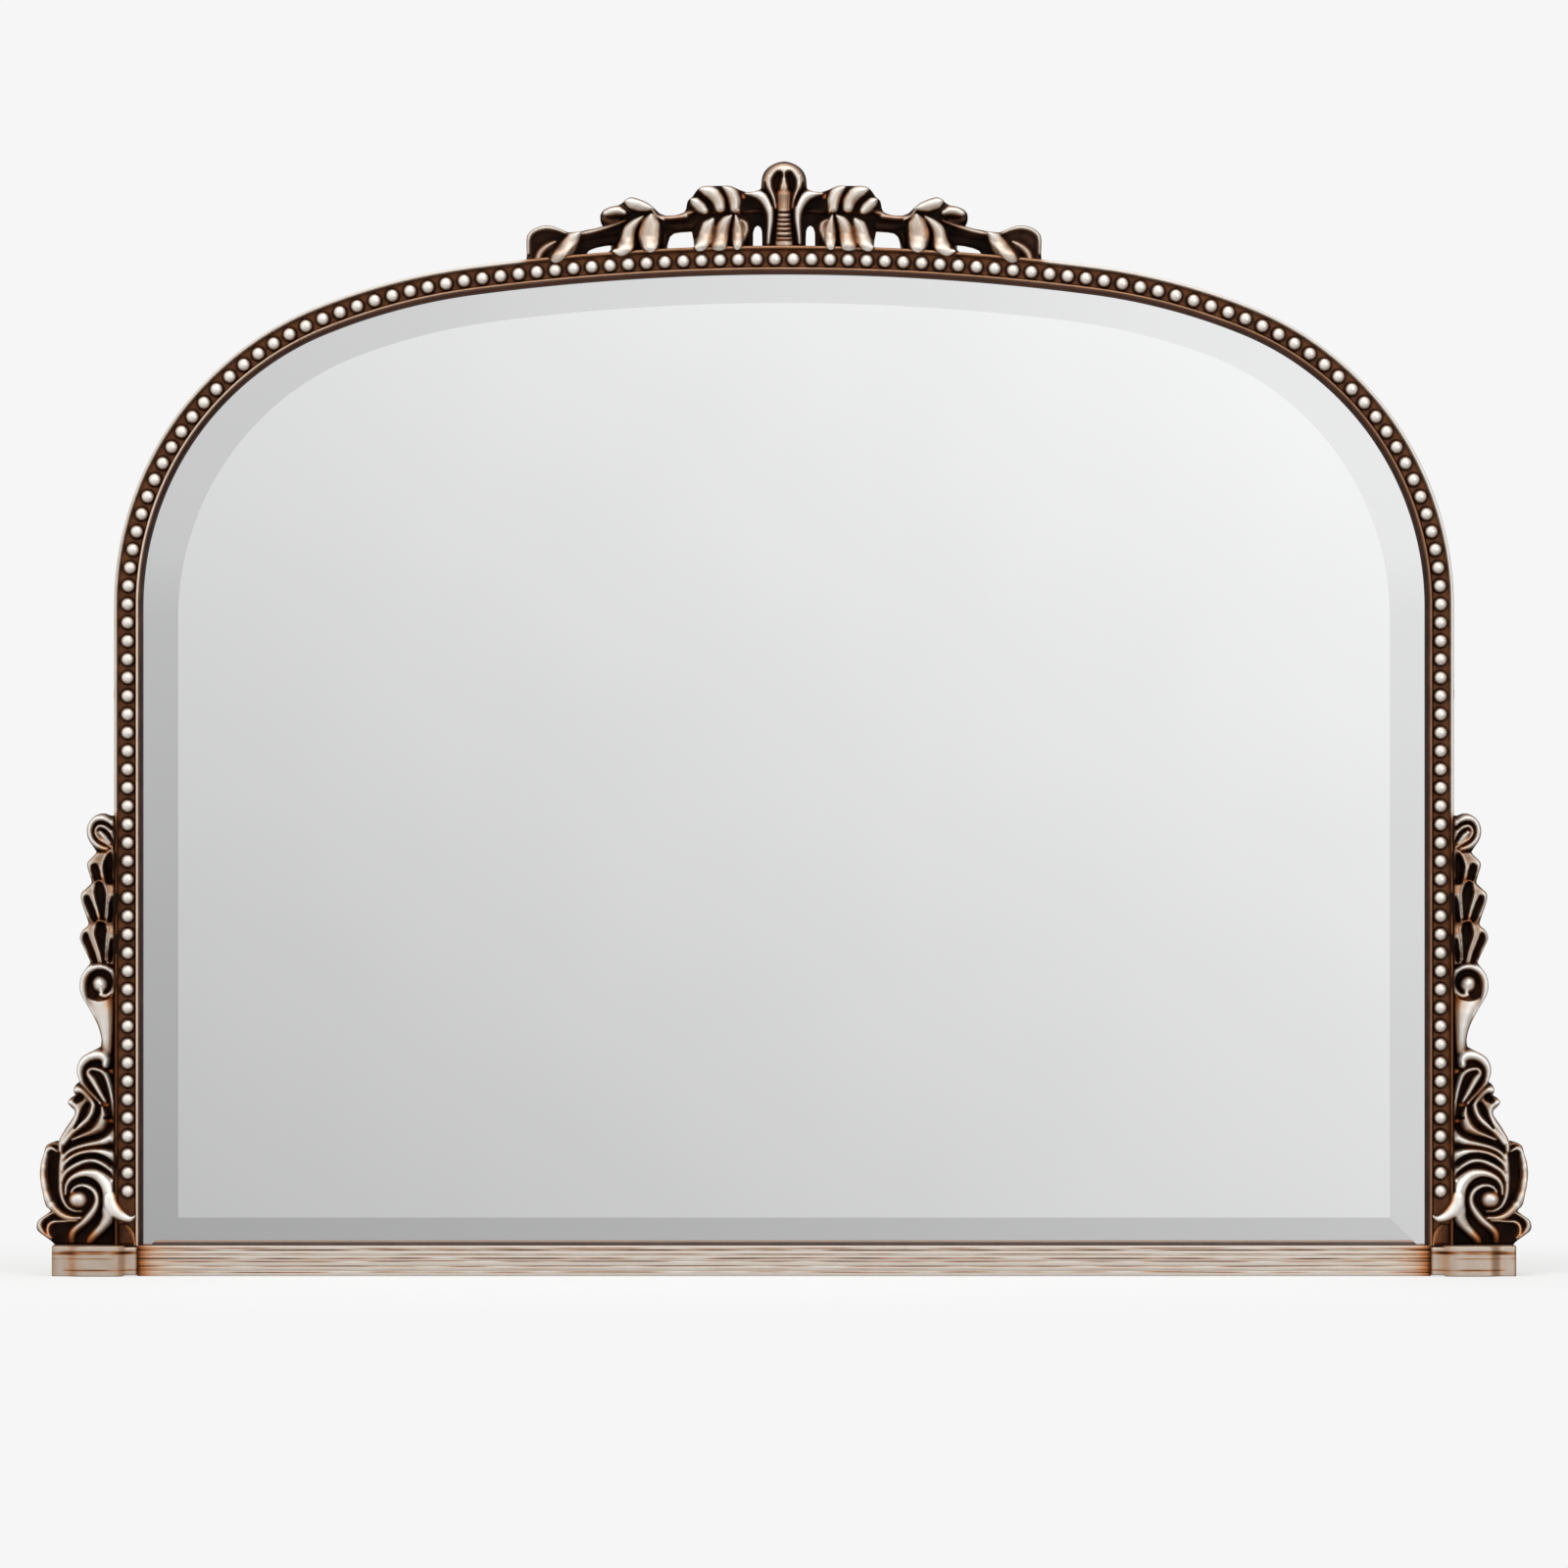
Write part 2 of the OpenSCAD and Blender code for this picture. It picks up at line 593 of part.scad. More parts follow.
// Silhouette of the side ornament: outward from the moulding's edge, and up
side_silhouette = [
    [1.2, 24.7], [50.6, 24.7], [54, 28], [60, 32.4], [64.4, 36], [65.2, 40], [63.5, 44.7], [58.8, 48.2],
    [53.8, 52], [57.4, 56], [58.8, 60], [61.2, 71.8], [62.4, 82], [61.2, 93], [59.4, 98], [58, 104],
    [55.3, 107], [50, 109], [46.8, 109.4], [45.9, 111.8], [40, 121.8], [34.1, 130.6], [34.1, 134.1],
    [39.1, 139.4], [39.4, 141.8], [33.8, 147], [34.7, 149.4], [34.4, 153], [30, 158.2], [32.1, 168.8],
    [30.6, 174], [27.6, 178.2], [17.1, 184.1], [12.9, 186.5], [12.2, 192.7], [15, 204], [21, 216],
    [27.7, 227.3], [29.7, 233.3], [29.7, 238.7], [28.3, 244.7], [25, 250], [21.3, 255], [24.3, 262.7],
    [29.3, 273.3], [29.3, 278], [27.1, 282], [23.6, 285], [22.7, 288], [26.1, 298], [28.9, 310],
    [27.1, 313.6], [20.4, 320], [20.4, 323], [23.2, 332], [23.6, 336.4], [17.9, 343], [16.4, 345.7],
    [20.4, 352], [24.1, 363], [22.9, 368.6], [19.3, 373.6], [14.3, 376.6], [9.3, 377], [5, 375.4],
    [1.2, 375.5]
];
// The cells that divide the side relief into its pieces
foot_cell = [[31, 24.6], [70, 24.6], [70, 51.6], [46.2, 51.6], [31, 46]];
shell_cell = [
    [31, 46.2], [46.2, 51.8], [70, 51.8], [70, 112], [47, 112], [47, 104], [46.4, 100], [47, 62],
    [40, 53], [31, 50]
];
scroll_cell = [
    [-20, 24.6], [30.8, 24.6], [30.8, 50], [39.8, 53.2], [46.8, 62], [46.2, 100], [46.8, 104], [-20, 104]
];
leaf_cell = [[-5, 104.2], [46.8, 104.2], [46.8, 112], [46, 186.8], [-5, 186.8]];
volute_cell = [[1.2, 187], [46, 187], [46, 254.4], [1.2, 254.4]];
lower_husk_cell = [[-4, 254.6], [46, 254.6], [46, 290.4], [-4, 290.4]];
middle_husk_cell = [[-4, 290.6], [46, 290.6], [46, 322.9], [-4, 322.9]];
upper_husk_cell = [[-4, 323.1], [46, 323.1], [46, 346.9], [-4, 346.9]];
bud_cell = [[-4, 347.1], [46, 347.1], [46, 380], [-4, 380]];
// The strip beside the ornament that the stile fills
stile_room = [[-frame_w, 0], [1.1, 0], [1.1, 400], [-frame_w, 400]];

// Relief of one piece: its part of the silhouette as a body, the strokes on it, cut to its cell
module side_piece(sign, cell) {
    upright() on_side(sign) side_place() intersection() {
        slab(cell, ground_front, block_depth);
        union() {
            slab(side_silhouette, ground_front, leaf_front);
            difference() {
                children();
                slab(stile_room, ground_back, over_frame);
            }
        }
    }
}

module side_ground(sign) {
    color([0.22, 0.15, 0.1]) upright() on_side(sign) difference() {
        side_place() slab(side_silhouette, ground_back, ground_front);
        side_pins(pin_r + glue_gap, pin_l + 1);
    }
}

module foot_leaf(sign) {
    color([0.7, 0.66, 0.62]) side_piece(sign, foot_cell) {
        stroke([[47, 50], [53, 49], [60, 45], [62, 40.5], [60, 35.4], [53, 29.5]],
            [1.5, 2.5, 2.5, 2.6, 2.2, 1], leaf_front, ridge_rise);
        rim([[32.4, 44.4], [40.6, 43.5], [51.2, 43.5], [55.6, 37], [52.9, 30.6]], 1.3, leaf_front, 4);
        rim([[33, 26], [40, 27], [50, 26.6]], 1.2, leaf_front, 3);
    }
}

shell_edge = [
    [48, 100.5], [53, 103.5], [58.4, 94], [59.6, 80], [57.8, 67], [52.5, 56.5], [43.5, 48.2], [35, 46.6]
];
shell_edge_w = [1, 1.8, 2.6, 3, 3.2, 3.1, 1.8, 1.2];

module shell_rim(sign) {
    color([0.8, 0.77, 0.73]) side_piece(sign, shell_cell) {
        stroke(shell_edge, shell_edge_w, leaf_front, ridge_rise);
        for (k = [0:1]) rim([[54 - 4 * k, 93], [54.4 - 4 * k, 76], [50 - 3 * k, 60]], 1, leaf_front, 4 - k);
        rim([[48.5, 106.4], [53, 106.6], [57.5, 103]], 1.6, leaf_front, 3);
    }
}

big_leaf = [
    [22, 27], [11, 39.5], [4, 53], [3.5, 66], [9, 77], [20, 82.6], [31, 82], [38.5, 76.5], [41, 66]
];
big_leaf_w = [2.5, 2, 3.5, 3.5, 3, 2.4, 1.8, 1.4, 0.8];
inner_spiral = [
    [36, 26], [35, 35.5], [26, 43.5], [16.5, 55.5], [15.4, 63.5], [20, 70.8], [29, 73.2], [36, 69.4],
    [39.5, 62.5]
];
inner_spiral_w = [2.5, 2.1, 2, 2.1, 1.9, 1.4, 0.9, 0.9, 1.2];
second_ridge = [
    [0, 79], [5, 86.5], [14, 92.2], [24.5, 93.2], [35.5, 88.2], [43, 81], [44.5, 76]
];
third_ridge = [
    [-1.5, 92], [4, 98], [15, 100.8], [29, 99.3], [39.5, 93.8], [43.5, 89], [44.5, 85]
];
column_ridge = [[44, 97], [45, 82], [44.6, 67], [41, 57.5], [28, 52]];

module acanthus_scroll(sign) {
    color([0.82, 0.8, 0.77]) side_piece(sign, scroll_cell) {
        stroke(big_leaf, big_leaf_w, leaf_front, over_frame + 6 - leaf_front);
        // Tip that curls out over the moulding
        stroke([[5, 62], [1, 54.5], [-6, 48.5], [-12, 46.2], [-16.5, 48.2]],
            [3.5, 4.8, 4.2, 3, 0.8], over_frame, 5);
        stroke(inner_spiral, inner_spiral_w, leaf_front, ridge_rise + 2);
        stroke(second_ridge, [1, 1.1, 1.3, 1.4, 1.5, 1.5, 1.2], leaf_front, ridge_rise);
        stroke(third_ridge, [0.6, 2.2, 1.2, 1, 1.1, 1.4, 1.5], leaf_front, ridge_rise);
        stroke(column_ridge, [1.5, 1.8, 1.4, 1, 0.5], leaf_front, ridge_rise);
        stroke([[24.5, 61.8], [31.4, 61.8], [38, 61.8]], [3.4, 6.6, 3.4], leaf_front, ridge_rise);
        rim(lowest_lobe, 1.3, leaf_front, ridge_rise - 2);
    }
}

lowest_lobe = [[1, 119], [4, 112.3], [14, 108.2], [26, 105.8], [37, 101.7], [43.5, 94.5]];
outer_vein = [
    [33.5, 151], [29, 151.3], [21.5, 144.7], [18.6, 138], [20.5, 131.5], [29, 122.2], [39, 112.8], [43, 107.5]
];
notch_vein = [[38.3, 141.3], [32.5, 137.6], [31.3, 131], [37, 120.4], [43.4, 111], [45.3, 103]];
inner_leaf = [[11.5, 137.5], [11, 128], [14, 120], [24, 114.8], [36, 111]];
top_hook = [
    [8.5, 172], [9.2, 177.4], [17.5, 179.3], [27.3, 174], [30, 163.5], [26.8, 156], [21, 149.3], [12.5, 140]
];
hairpin = [[8.8, 141.8], [19, 158.5], [22.8, 164.5], [20.5, 168], [9.3, 164.5], [4, 150], [1.2, 131]];

module acanthus_leaf(sign) {
    color([0.8, 0.78, 0.75]) side_piece(sign, leaf_cell) {
        stroke(top_hook, [2.2, 2.5, 2.3, 2.4, 2.3, 2, 1.4, 0.7], leaf_front, ridge_rise + 1);
        stroke(hairpin, [0.9, 1.8, 1.4, 1, 1.4, 1.1, 0.7], leaf_front, ridge_rise - 1);
        stroke(outer_vein, [1.5, 2.2, 1.6, 1.2, 1.2, 1.3, 1.4, 1.5], leaf_front, ridge_rise);
        stroke(notch_vein, [1.8, 2, 2.3, 2.4, 2.2, 1.2], leaf_front, ridge_rise);
        stroke(inner_leaf, [0.6, 3, 3.5, 1.5, 0.8], leaf_front, ridge_rise - 1);
        rim(lowest_lobe, 1.6, leaf_front, ridge_rise - 2);
        rim(third_ridge, 1.6, leaf_front, ridge_rise);
        stroke(shell_edge, shell_edge_w, leaf_front, ridge_rise);
    }
}

volute_band = [
    [12.8, 189], [17, 208], [24.5, 222.5], [28, 236], [23.5, 248], [14.5, 252], [5, 249.5], [2.4, 242],
    [3.2, 233.6], [8, 228], [12.5, 228.8]
];
volute_band_w = [0.9, 1.2, 1.8, 2.5, 2, 1.3, 1.1, 1.1, 1.1, 1.2, 1.8];

module volute(sign) {
    color([0.84, 0.82, 0.79]) side_piece(sign, volute_cell) {
        stroke(volute_band, volute_band_w, leaf_front, ridge_rise + 1);
        // Smooth rounded shaft and the eye of the volute
        stroke([[7, 187], [7.6, 200], [9.2, 212], [12.5, 223.5]],
            [5.6, 6.6, 8, 10.6], leaf_front, ridge_rise + 1);
        stroke([[11, 229], [12.6, 233], [13, 238], [13, 244]], [2, 5, 6.4, 3], leaf_front, ridge_rise);
    }
}

module lower_husk(sign) {
    color([0.78, 0.75, 0.71]) side_piece(sign, lower_husk_cell) {
        rim([[11.7, 257.3], [18.3, 278], [15, 289.6], [9.3, 288.6], [7, 278], [7.7, 262.7]],
            1.3, leaf_front, 7);
        rim([[21.5, 257], [28.3, 273], [26.4, 280.4], [18.3, 276]], 1.3, leaf_front, 6);
        rim([[2.2, 258], [2.3, 274.7], [4.5, 280]], 1, leaf_front, 5);
    }
}

module middle_husk(sign) {
    color([0.78, 0.75, 0.71]) side_piece(sign, middle_husk_cell) {
        rim([[13.2, 288], [17.9, 308], [18.6, 316.5], [14.3, 321.6], [8.6, 318], [7.1, 309], [8.4, 288]],
            1.3, leaf_front, 7);
        rim([[20, 309.3], [26, 311.6], [27.5, 305.7], [20.4, 288]], 1.2, leaf_front, 6);
        rim([[5, 310.7], [2.3, 299.3], [2.6, 288]], 1, leaf_front, 5);
    }
}

module upper_husk(sign) {
    color([0.78, 0.75, 0.71]) side_piece(sign, upper_husk_cell) {
        rim([[2.2, 343], [5.8, 345.2], [10, 339.3], [11.4, 331], [8.6, 322]], 1.3, leaf_front, 7);
        rim([[11.4, 337.1], [18, 338], [22.1, 334.4], [19, 322]], 1.2, leaf_front, 6);
    }
}

module top_bud(sign) {
    color([0.8, 0.78, 0.74]) side_piece(sign, bud_cell) {
        stroke([[3.4, 368.6], [9, 372.6], [17.1, 372.1], [21.8, 362.1], [16.4, 352.1], [7.1, 348.6]],
            [1.6, 2.3, 2.3, 2.2, 2, 1], leaf_front, 7);
        rim([[2.6, 356.4], [7, 364.9], [13.6, 366.8], [16.4, 362], [5, 350.7]], 1.1, leaf_front, 5);
    }
}

// The crest, drawn as distance from the centre line and height above the crown's outer edge
crest_silhouette = [
    [0, 69.6], [5, 68.8], [10.6, 66.3], [15, 62.5], [17.5, 58], [18.4, 53], [18.8, 47.5], [21.3, 45.9],
    [25, 44.7],
    [30, 44.4], [36.9, 46.6], [43.8, 49.4], [50, 49.7], [60, 49.5], [65.6, 49.3], [69.4, 47.8], [72.5, 44.4],
    [75, 40.6], [78.1, 38.1], [80, 31.3], [81.3, 28.4], [85, 26.6], [90, 25.4], [96.8, 25.3], [102.1, 27.4],
    [108.9, 33.7], [117.9, 38.4], [123.2, 40], [126.3, 40], [129.5, 38.4], [132.1, 35.8], [135.8, 33.7],
    [144.2, 31.6], [147.9, 29.5], [150, 26.3], [150.3, 22.1], [147.9, 16.3], [154.2, 14.8], [167.4, 12.1],
    [176.3, 11.6], [188.4, 16.3], [192.6, 17], [197.4, 16.8], [202, 15.5], [206.3, 13.2], [209.5, 9.7],
    [210.5, 5.5], [210.5, 0], [210.3, -5], [211, -16], [0, -16]
];
crest_holes = [
    [[17.8, -1], [25.3, -1], [25.3, 12], [23.8, 16], [21.5, 17.5], [19.2, 16], [17.8, 12]],
    [[73.1, -2.6], [95.8, -2.6], [94.7, 4.2], [93.2, 8.4], [90, 11], [85, 11.9], [75.6, 12.5], [74, 5]],
    [[141.6, 1.3], [146.8, 0.8], [154.2, -0.8], [159.5, -2.9], [161.6, -5.5], [154, -7], [146.3, -6.5],
        [141, -2.5]]
];
palmette_half_cell = [[8.4, 2], [8.4, 34], [9.5, 39], [18.9, 45.5], [18.9, 49], [26, 72]];
palmette_cell = concat(palmette_half_cell,
    [for (i = [len(palmette_half_cell) - 1:-1:0]) [-palmette_half_cell[i][0], palmette_half_cell[i][1]]]);
crest_scroll_cell = [
    [8.6, -4], [33.6, -4], [33.6, 26], [37, 31], [37, 52], [19.1, 49], [19.1, 45.4], [9.8, 38.9], [8.6, 34]
];
upper_leaf_cell = [[37.2, 31], [34, 26.2], [82, 26.2], [82, 53], [37.2, 53]];
lower_leaf_cell = [[33.8, -10], [82, -10], [82, 26], [33.8, 26]];
frond_cell = [[82.2, -14], [112.8, -14], [121, 24], [133, 35.5], [133, 42], [82.2, 42]];
crest_bud_cell = [[113, -14], [143.5, -14], [148, 15], [152, 26], [146, 33], [133.2, 34], [121.2, 23.8]];
crest_end_cell = [[143.8, -16], [214, -16], [214, 20], [152, 20], [148.2, 15]];

// What lies above the crown of the moulding, with a hair of room for the glue line
crest_seat_gap = 0.1;
module above_crown() {
    difference() {
        children();
        translate([sight[0][0][0], sight[0][0][1], ground_back - 1])
            cylinder(h = block_depth, r = crown_radius + frame_w + crest_seat_gap, $fn = 720);
    }
}
module crest_place() translate([0, outer_top, 0]) children();

// Thickness of the body that carries a crest piece's strokes
crest_body_t = leaf_t - 2;

// Relief of one crest piece: its part of the openwork as a body, the strokes on it, cut to its cell
module crest_piece(sign, cell) {
    upright() on_side(sign) above_crown() crest_place() intersection() {
        slab(cell, ground_front, block_depth);
        union() {
            openwork(ground_front, ground_front + crest_body_t);
            children();
        }
    }
}

// The silhouette of one half of the crest with its holes, between two depths
module openwork(from, to) {
    difference() {
        slab(crest_silhouette, from, to);
        for (h = crest_holes) slab(h, from - 1, to + 1);
    }
}

module crest_ground() {
    color([0.24, 0.17, 0.12]) upright() difference() {
        for (s = [1, -1]) on_side(s) above_crown() crest_place() openwork(ground_back, ground_front);
        crest_pins(pin_r + glue_gap, pin_l + 1, [1, -1]);
    }
}

// Rounded head of the palmette
dome_r = 18.3;
function dome_arc(r) = [for (t = [0:30:180]) [r * cos(t), 51.1 + r * sin(t)]];

module crest_palmette() {
    color([0.84, 0.82, 0.79]) crest_piece(1, palmette_cell) {
        on_side(-1) openwork(ground_front, ground_front + crest_body_t);
        slab(concat(dome_arc(dome_r), [[-17, 45], [-9, 40], [9, 40], [17, 45]]), ground_front, leaf_front);
        rim(dome_arc(dome_r - 2), 1.7, leaf_front, ridge_rise - 2);
        for (s = [1, -1]) rim([[12.2 * s, 58], [11.5 * s, 50], [7.4 * s, 38]], 0.9, leaf_front, 3);
        stroke([[0, 66], [0, 52], [0, 40.5]], [2.4, 2, 3], leaf_front, 4);
        stroke([[0, 41.3], [0, 24], [0, 3]], [6, 5.6, 7], ground_front, leaf_t + ridge_rise - 3);
    }
}

module crest_scroll(sign) {
    color([0.84, 0.82, 0.79]) crest_piece(sign, crest_scroll_cell) {
        stroke([[28, 42.5], [20, 42], [13, 35], [10.8, 25], [11, 15], [13, 4]],
            [1.2, 1.9, 2.2, 2, 1.7, 1], ground_front, leaf_t + 6);
        stroke([[30, 39], [20.6, 30.2], [15, 12]], [2, 3.2, 1.5], ground_front, leaf_t - 0.6);
        stroke([[31.6, 29.4], [24, 27], [16, 25.5]], [2.5, 3, 2.4], ground_front, leaf_t - 1);
        stroke([[28, 26], [30.4, 14], [30.8, 4]], [1, 1.9, 0.8], ground_front, leaf_t + 2);
    }
}

module crest_upper_leaves(sign) {
    color([0.82, 0.8, 0.77]) crest_piece(sign, upper_leaf_cell) {
        stroke([[40, 29], [40.5, 37], [42.5, 42.5], [46, 46.5], [49, 48.5]],
            [3.5, 4, 3.8, 2.6, 1], ground_front, leaf_t + 5);
        stroke([[67.5, 46], [62, 44.5], [57, 41], [53, 36.5], [52.3, 28.3]],
            [1.8, 3.5, 4, 4, 3.4], ground_front, leaf_t + 6);
        stroke([[75, 37.5], [71.5, 35], [68, 31.5], [64, 28]],
            [1.2, 3.2, 3.5, 2.5], ground_front, leaf_t + 4);
        rim([[38, 31.4], [52, 30.6], [64, 29.4], [79, 28.8]], 2.4, ground_front, leaf_t);
    }
}

module crest_lower_leaves(sign) {
    color([0.82, 0.8, 0.77]) crest_piece(sign, lower_leaf_cell) {
        stroke([[58.5, 23], [62, 16], [63.3, 10], [65, 4], [68.5, -1.5], [73, -1]],
            [2, 4.5, 4.7, 4.7, 3.5, 1], ground_front, leaf_t + 6);
        stroke([[43, 24.5], [47.5, 20.5], [50.5, 14], [51.5, 7], [53, -2.5]],
            [0.8, 3.5, 4.6, 4.8, 5], ground_front, leaf_t + 6);
        stroke([[39.5, 25], [38.3, 19], [37.8, 12], [37.8, 5], [38, -1]],
            [0.8, 2.6, 3.6, 3.4, 1.6], ground_front, leaf_t + 4);
        rim([[66, 24.4], [72, 21.5], [78, 19], [85, 17.6]], 2.4, ground_front, leaf_t - 1);
    }
}

module crest_frond(sign) {
    color([0.82, 0.8, 0.77]) crest_piece(sign, frond_cell) {
        stroke([[104, 30], [112, 32], [118, 33.5], [124, 35], [128.5, 37]],
            [2, 3.4, 5, 4.5, 1.5], ground_front, leaf_t + 5);
        stroke([[108, 26], [107, 17], [105.6, 10], [104.6, 3], [104, -5]],
            [2, 4.6, 5.4, 4.6, 3.4], ground_front, leaf_t + 6);
        rim([[83, 23.4], [90, 23], [97.9, 21.3], [104.7, 25.3]], 1.8, ground_front, leaf_t + 2);
        rim([[83, 17], [92, 16.4], [99, 15]], 2.4, ground_front, leaf_t - 1);
    }
}

module crest_bud(sign) {
    color([0.8, 0.78, 0.74]) crest_piece(sign, crest_bud_cell) {
        stroke([[115, 24], [121, 19.5], [126.5, 13.5], [127.8, 6], [129, -0.5], [133, -5], [139.5, -4.4]],
            [0.8, 2.6, 4.2, 4.7, 5, 3, 1], ground_front, leaf_t + 6);
        stroke([[140.6, 16.3], [140.4, 20.4], [140.2, 25.8], [140, 31]],
            [4, 8.3, 8.2, 4.2], ground_front, leaf_t + 4);
    }
}

module crest_end(sign) {
    color([0.78, 0.75, 0.7]) crest_piece(sign, crest_end_cell) {
        slab([[170, -20], [170, 4], [178, 9], [188.4, 14], [197, 14.5], [204, 12], [208, 6], [208.4, -20]],
            ground_front, leaf_front - 1);
        stroke([[177.9, 10.5], [186, 13.8], [194.7, 14.9], [203.6, 12.6], [208.4, 2.4]],
            [1.4, 2, 2, 2, 1.4], leaf_front - 1, 5);
        stroke([[183.7, 5.8], [192, 4.4], [201, 0], [205.9, -11]], [1.2, 1.6, 1.8, 2], leaf_front - 1, 5);
        stroke([[167, 10.5], [172.5, 5.5], [176.5, -0.5], [180.5, -6.5], [186, -12]],
            [2.2, 4.4, 5.6, 5.6, 4], ground_front, leaf_t + 6);
        rim([[149, 13.6], [162, 10], [174, 10]], 1.7, ground_front, leaf_t + 2);
    }
}

stile(-1);  // stile_left
stile(1);  // stile_right
bend(-1, sight[2]);  // corner_left
bend(1, sight[2]);  // corner_right
bend(-1, sight[1]);  // haunch_left
bend(1, sight[1]);  // haunch_right
crown_moulding();
bead_string(-1);  // bead_string_left
bead_string(1);  // bead_string_right
base_rail();
plinth_block(-1);  // plinth_block_left
plinth_block(1);  // plinth_block_right
mirror_glass();
glass_pads();
back_board();
board_screws();
joint_dowels();
ornament_pins();
wall_bumpers();
hanger_plate(-1);  // hanger_plate_left
hanger_plate(1);  // hanger_plate_right
hanger_ring(-1);  // hanger_ring_left
hanger_ring(1);  // hanger_ring_right
hanger_screws();
crest_ground();
crest_palmette();
crest_scroll(-1);  // crest_scroll_left
crest_scroll(1);  // crest_scroll_right
crest_upper_leaves(-1);  // crest_upper_leaves_left
crest_upper_leaves(1);  // crest_upper_leaves_right
crest_lower_leaves(-1);  // crest_lower_leaves_left
crest_lower_leaves(1);  // crest_lower_leaves_right
crest_frond(-1);  // crest_frond_left
crest_frond(1);  // crest_frond_right
crest_bud(-1);  // crest_bud_left
crest_bud(1);  // crest_bud_right
crest_end(-1);  // crest_end_left
crest_end(1);  // crest_end_right
side_ground(-1);  // side_ground_left
side_ground(1);  // side_ground_right
foot_leaf(-1);  // foot_leaf_left
foot_leaf(1);  // foot_leaf_right
shell_rim(-1);  // shell_rim_left
shell_rim(1);  // shell_rim_right
acanthus_scroll(-1);  // acanthus_scroll_left
acanthus_scroll(1);  // acanthus_scroll_right
acanthus_leaf(-1);  // acanthus_leaf_left
acanthus_leaf(1);  // acanthus_leaf_right
volute(-1);  // volute_left
volute(1);  // volute_right
lower_husk(-1);  // lower_husk_left
lower_husk(1);  // lower_husk_right
middle_husk(-1);  // middle_husk_left
middle_husk(1);  // middle_husk_right
upper_husk(-1);  // upper_husk_left
upper_husk(1);  // upper_husk_right
top_bud(-1);  // top_bud_left
top_bud(1);  // top_bud_right
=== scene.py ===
"""Arched overmantel wall mirror with carved crest and side ornaments, made on its fixed frame."""
import math

import bpy
import numpy as np
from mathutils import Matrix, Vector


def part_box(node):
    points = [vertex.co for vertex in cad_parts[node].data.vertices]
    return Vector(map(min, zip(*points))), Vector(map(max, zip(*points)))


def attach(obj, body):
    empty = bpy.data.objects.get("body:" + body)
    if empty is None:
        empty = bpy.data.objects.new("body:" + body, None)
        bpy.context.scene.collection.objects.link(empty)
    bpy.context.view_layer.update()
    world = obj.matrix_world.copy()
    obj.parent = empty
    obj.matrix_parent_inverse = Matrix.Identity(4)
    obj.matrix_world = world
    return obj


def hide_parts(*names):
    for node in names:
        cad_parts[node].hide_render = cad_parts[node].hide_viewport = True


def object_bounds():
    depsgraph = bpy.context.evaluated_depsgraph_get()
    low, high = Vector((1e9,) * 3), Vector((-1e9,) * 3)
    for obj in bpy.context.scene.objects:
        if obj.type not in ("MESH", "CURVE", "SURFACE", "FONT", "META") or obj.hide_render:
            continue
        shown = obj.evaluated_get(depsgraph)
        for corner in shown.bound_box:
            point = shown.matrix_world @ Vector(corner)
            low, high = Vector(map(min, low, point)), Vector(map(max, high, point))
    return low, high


bl_info = {
    "name": "Arched Wall Mirror",
    "version": (1, 0, 0),
    "blender": (4, 5, 0),
    "location": "View3D > Sidebar > Mirror",
    "description": "Makes an arched, beaded and carved wall mirror on its frame",
    "category": "Add Mesh",
}

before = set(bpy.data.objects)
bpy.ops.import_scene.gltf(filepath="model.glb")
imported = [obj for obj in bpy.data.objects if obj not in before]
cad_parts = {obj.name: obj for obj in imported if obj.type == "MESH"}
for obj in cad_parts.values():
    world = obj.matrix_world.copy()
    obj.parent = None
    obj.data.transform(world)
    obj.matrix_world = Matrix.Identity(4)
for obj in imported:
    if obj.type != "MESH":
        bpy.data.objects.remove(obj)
CAD_BOX = [[float(v) for v in corner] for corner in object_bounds()]

# Lengths below are in millimetres, in a drawing seen from the front, and MM turns them into metres
MM = 0.001
SIDES = (("left", -1), ("right", 1))
BACK_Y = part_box("stile_right")[1][1]
OUTER_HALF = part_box("stile_right")[1][0] / MM
FLOOR_TO_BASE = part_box("base_rail")[1][2] / MM

# The opening's arcs from the top down: centre, radius, and first and last angle from the vertical, in mm and degrees
SIGHT_HALF, SIGHT_TOP = 524.6, 818.4
FRAME_W = 22.4
CROWN_RADIUS, HAUNCH_RADIUS = 1935.0, 497.0
CROWN_ANGLE, HAUNCH_ANGLE = 7.5, 22.0
# The glass field inside the bevel
FIELD_HALF, FIELD_TOP = SIGHT_HALF - 29.4, SIGHT_TOP - 24.0
FIELD_CROWN, FIELD_HAUNCH = 1850.0, 516.0
FIELD_CROWN_ANGLE, FIELD_HAUNCH_ANGLE = 7.2, 20.1
# Depths forward of the frame's back plane
GROUND_FRONT, OVER_FRAME, FLOOR_D = 16.0, 33.4, 27.0
# The bead line
BEAD_LINE, FIRST_BEAD_Z = 11.3, 68.8
# Base rail and plinth blocks
RAIL_DEPTH, BLOCK_INNER, BLOCK_W = 40.0, 527.3, 69.5
# The glass plate's back, thin edge and front
GLASS_BACK, GLASS_EDGE, GLASS_FRONT, BEVEL_LINE_Z = 17.0, 19.5, 22.0, 46.8
# Camera, in metres
CAMERA_Y, CAMERA_Z = -7.12, 0.4012


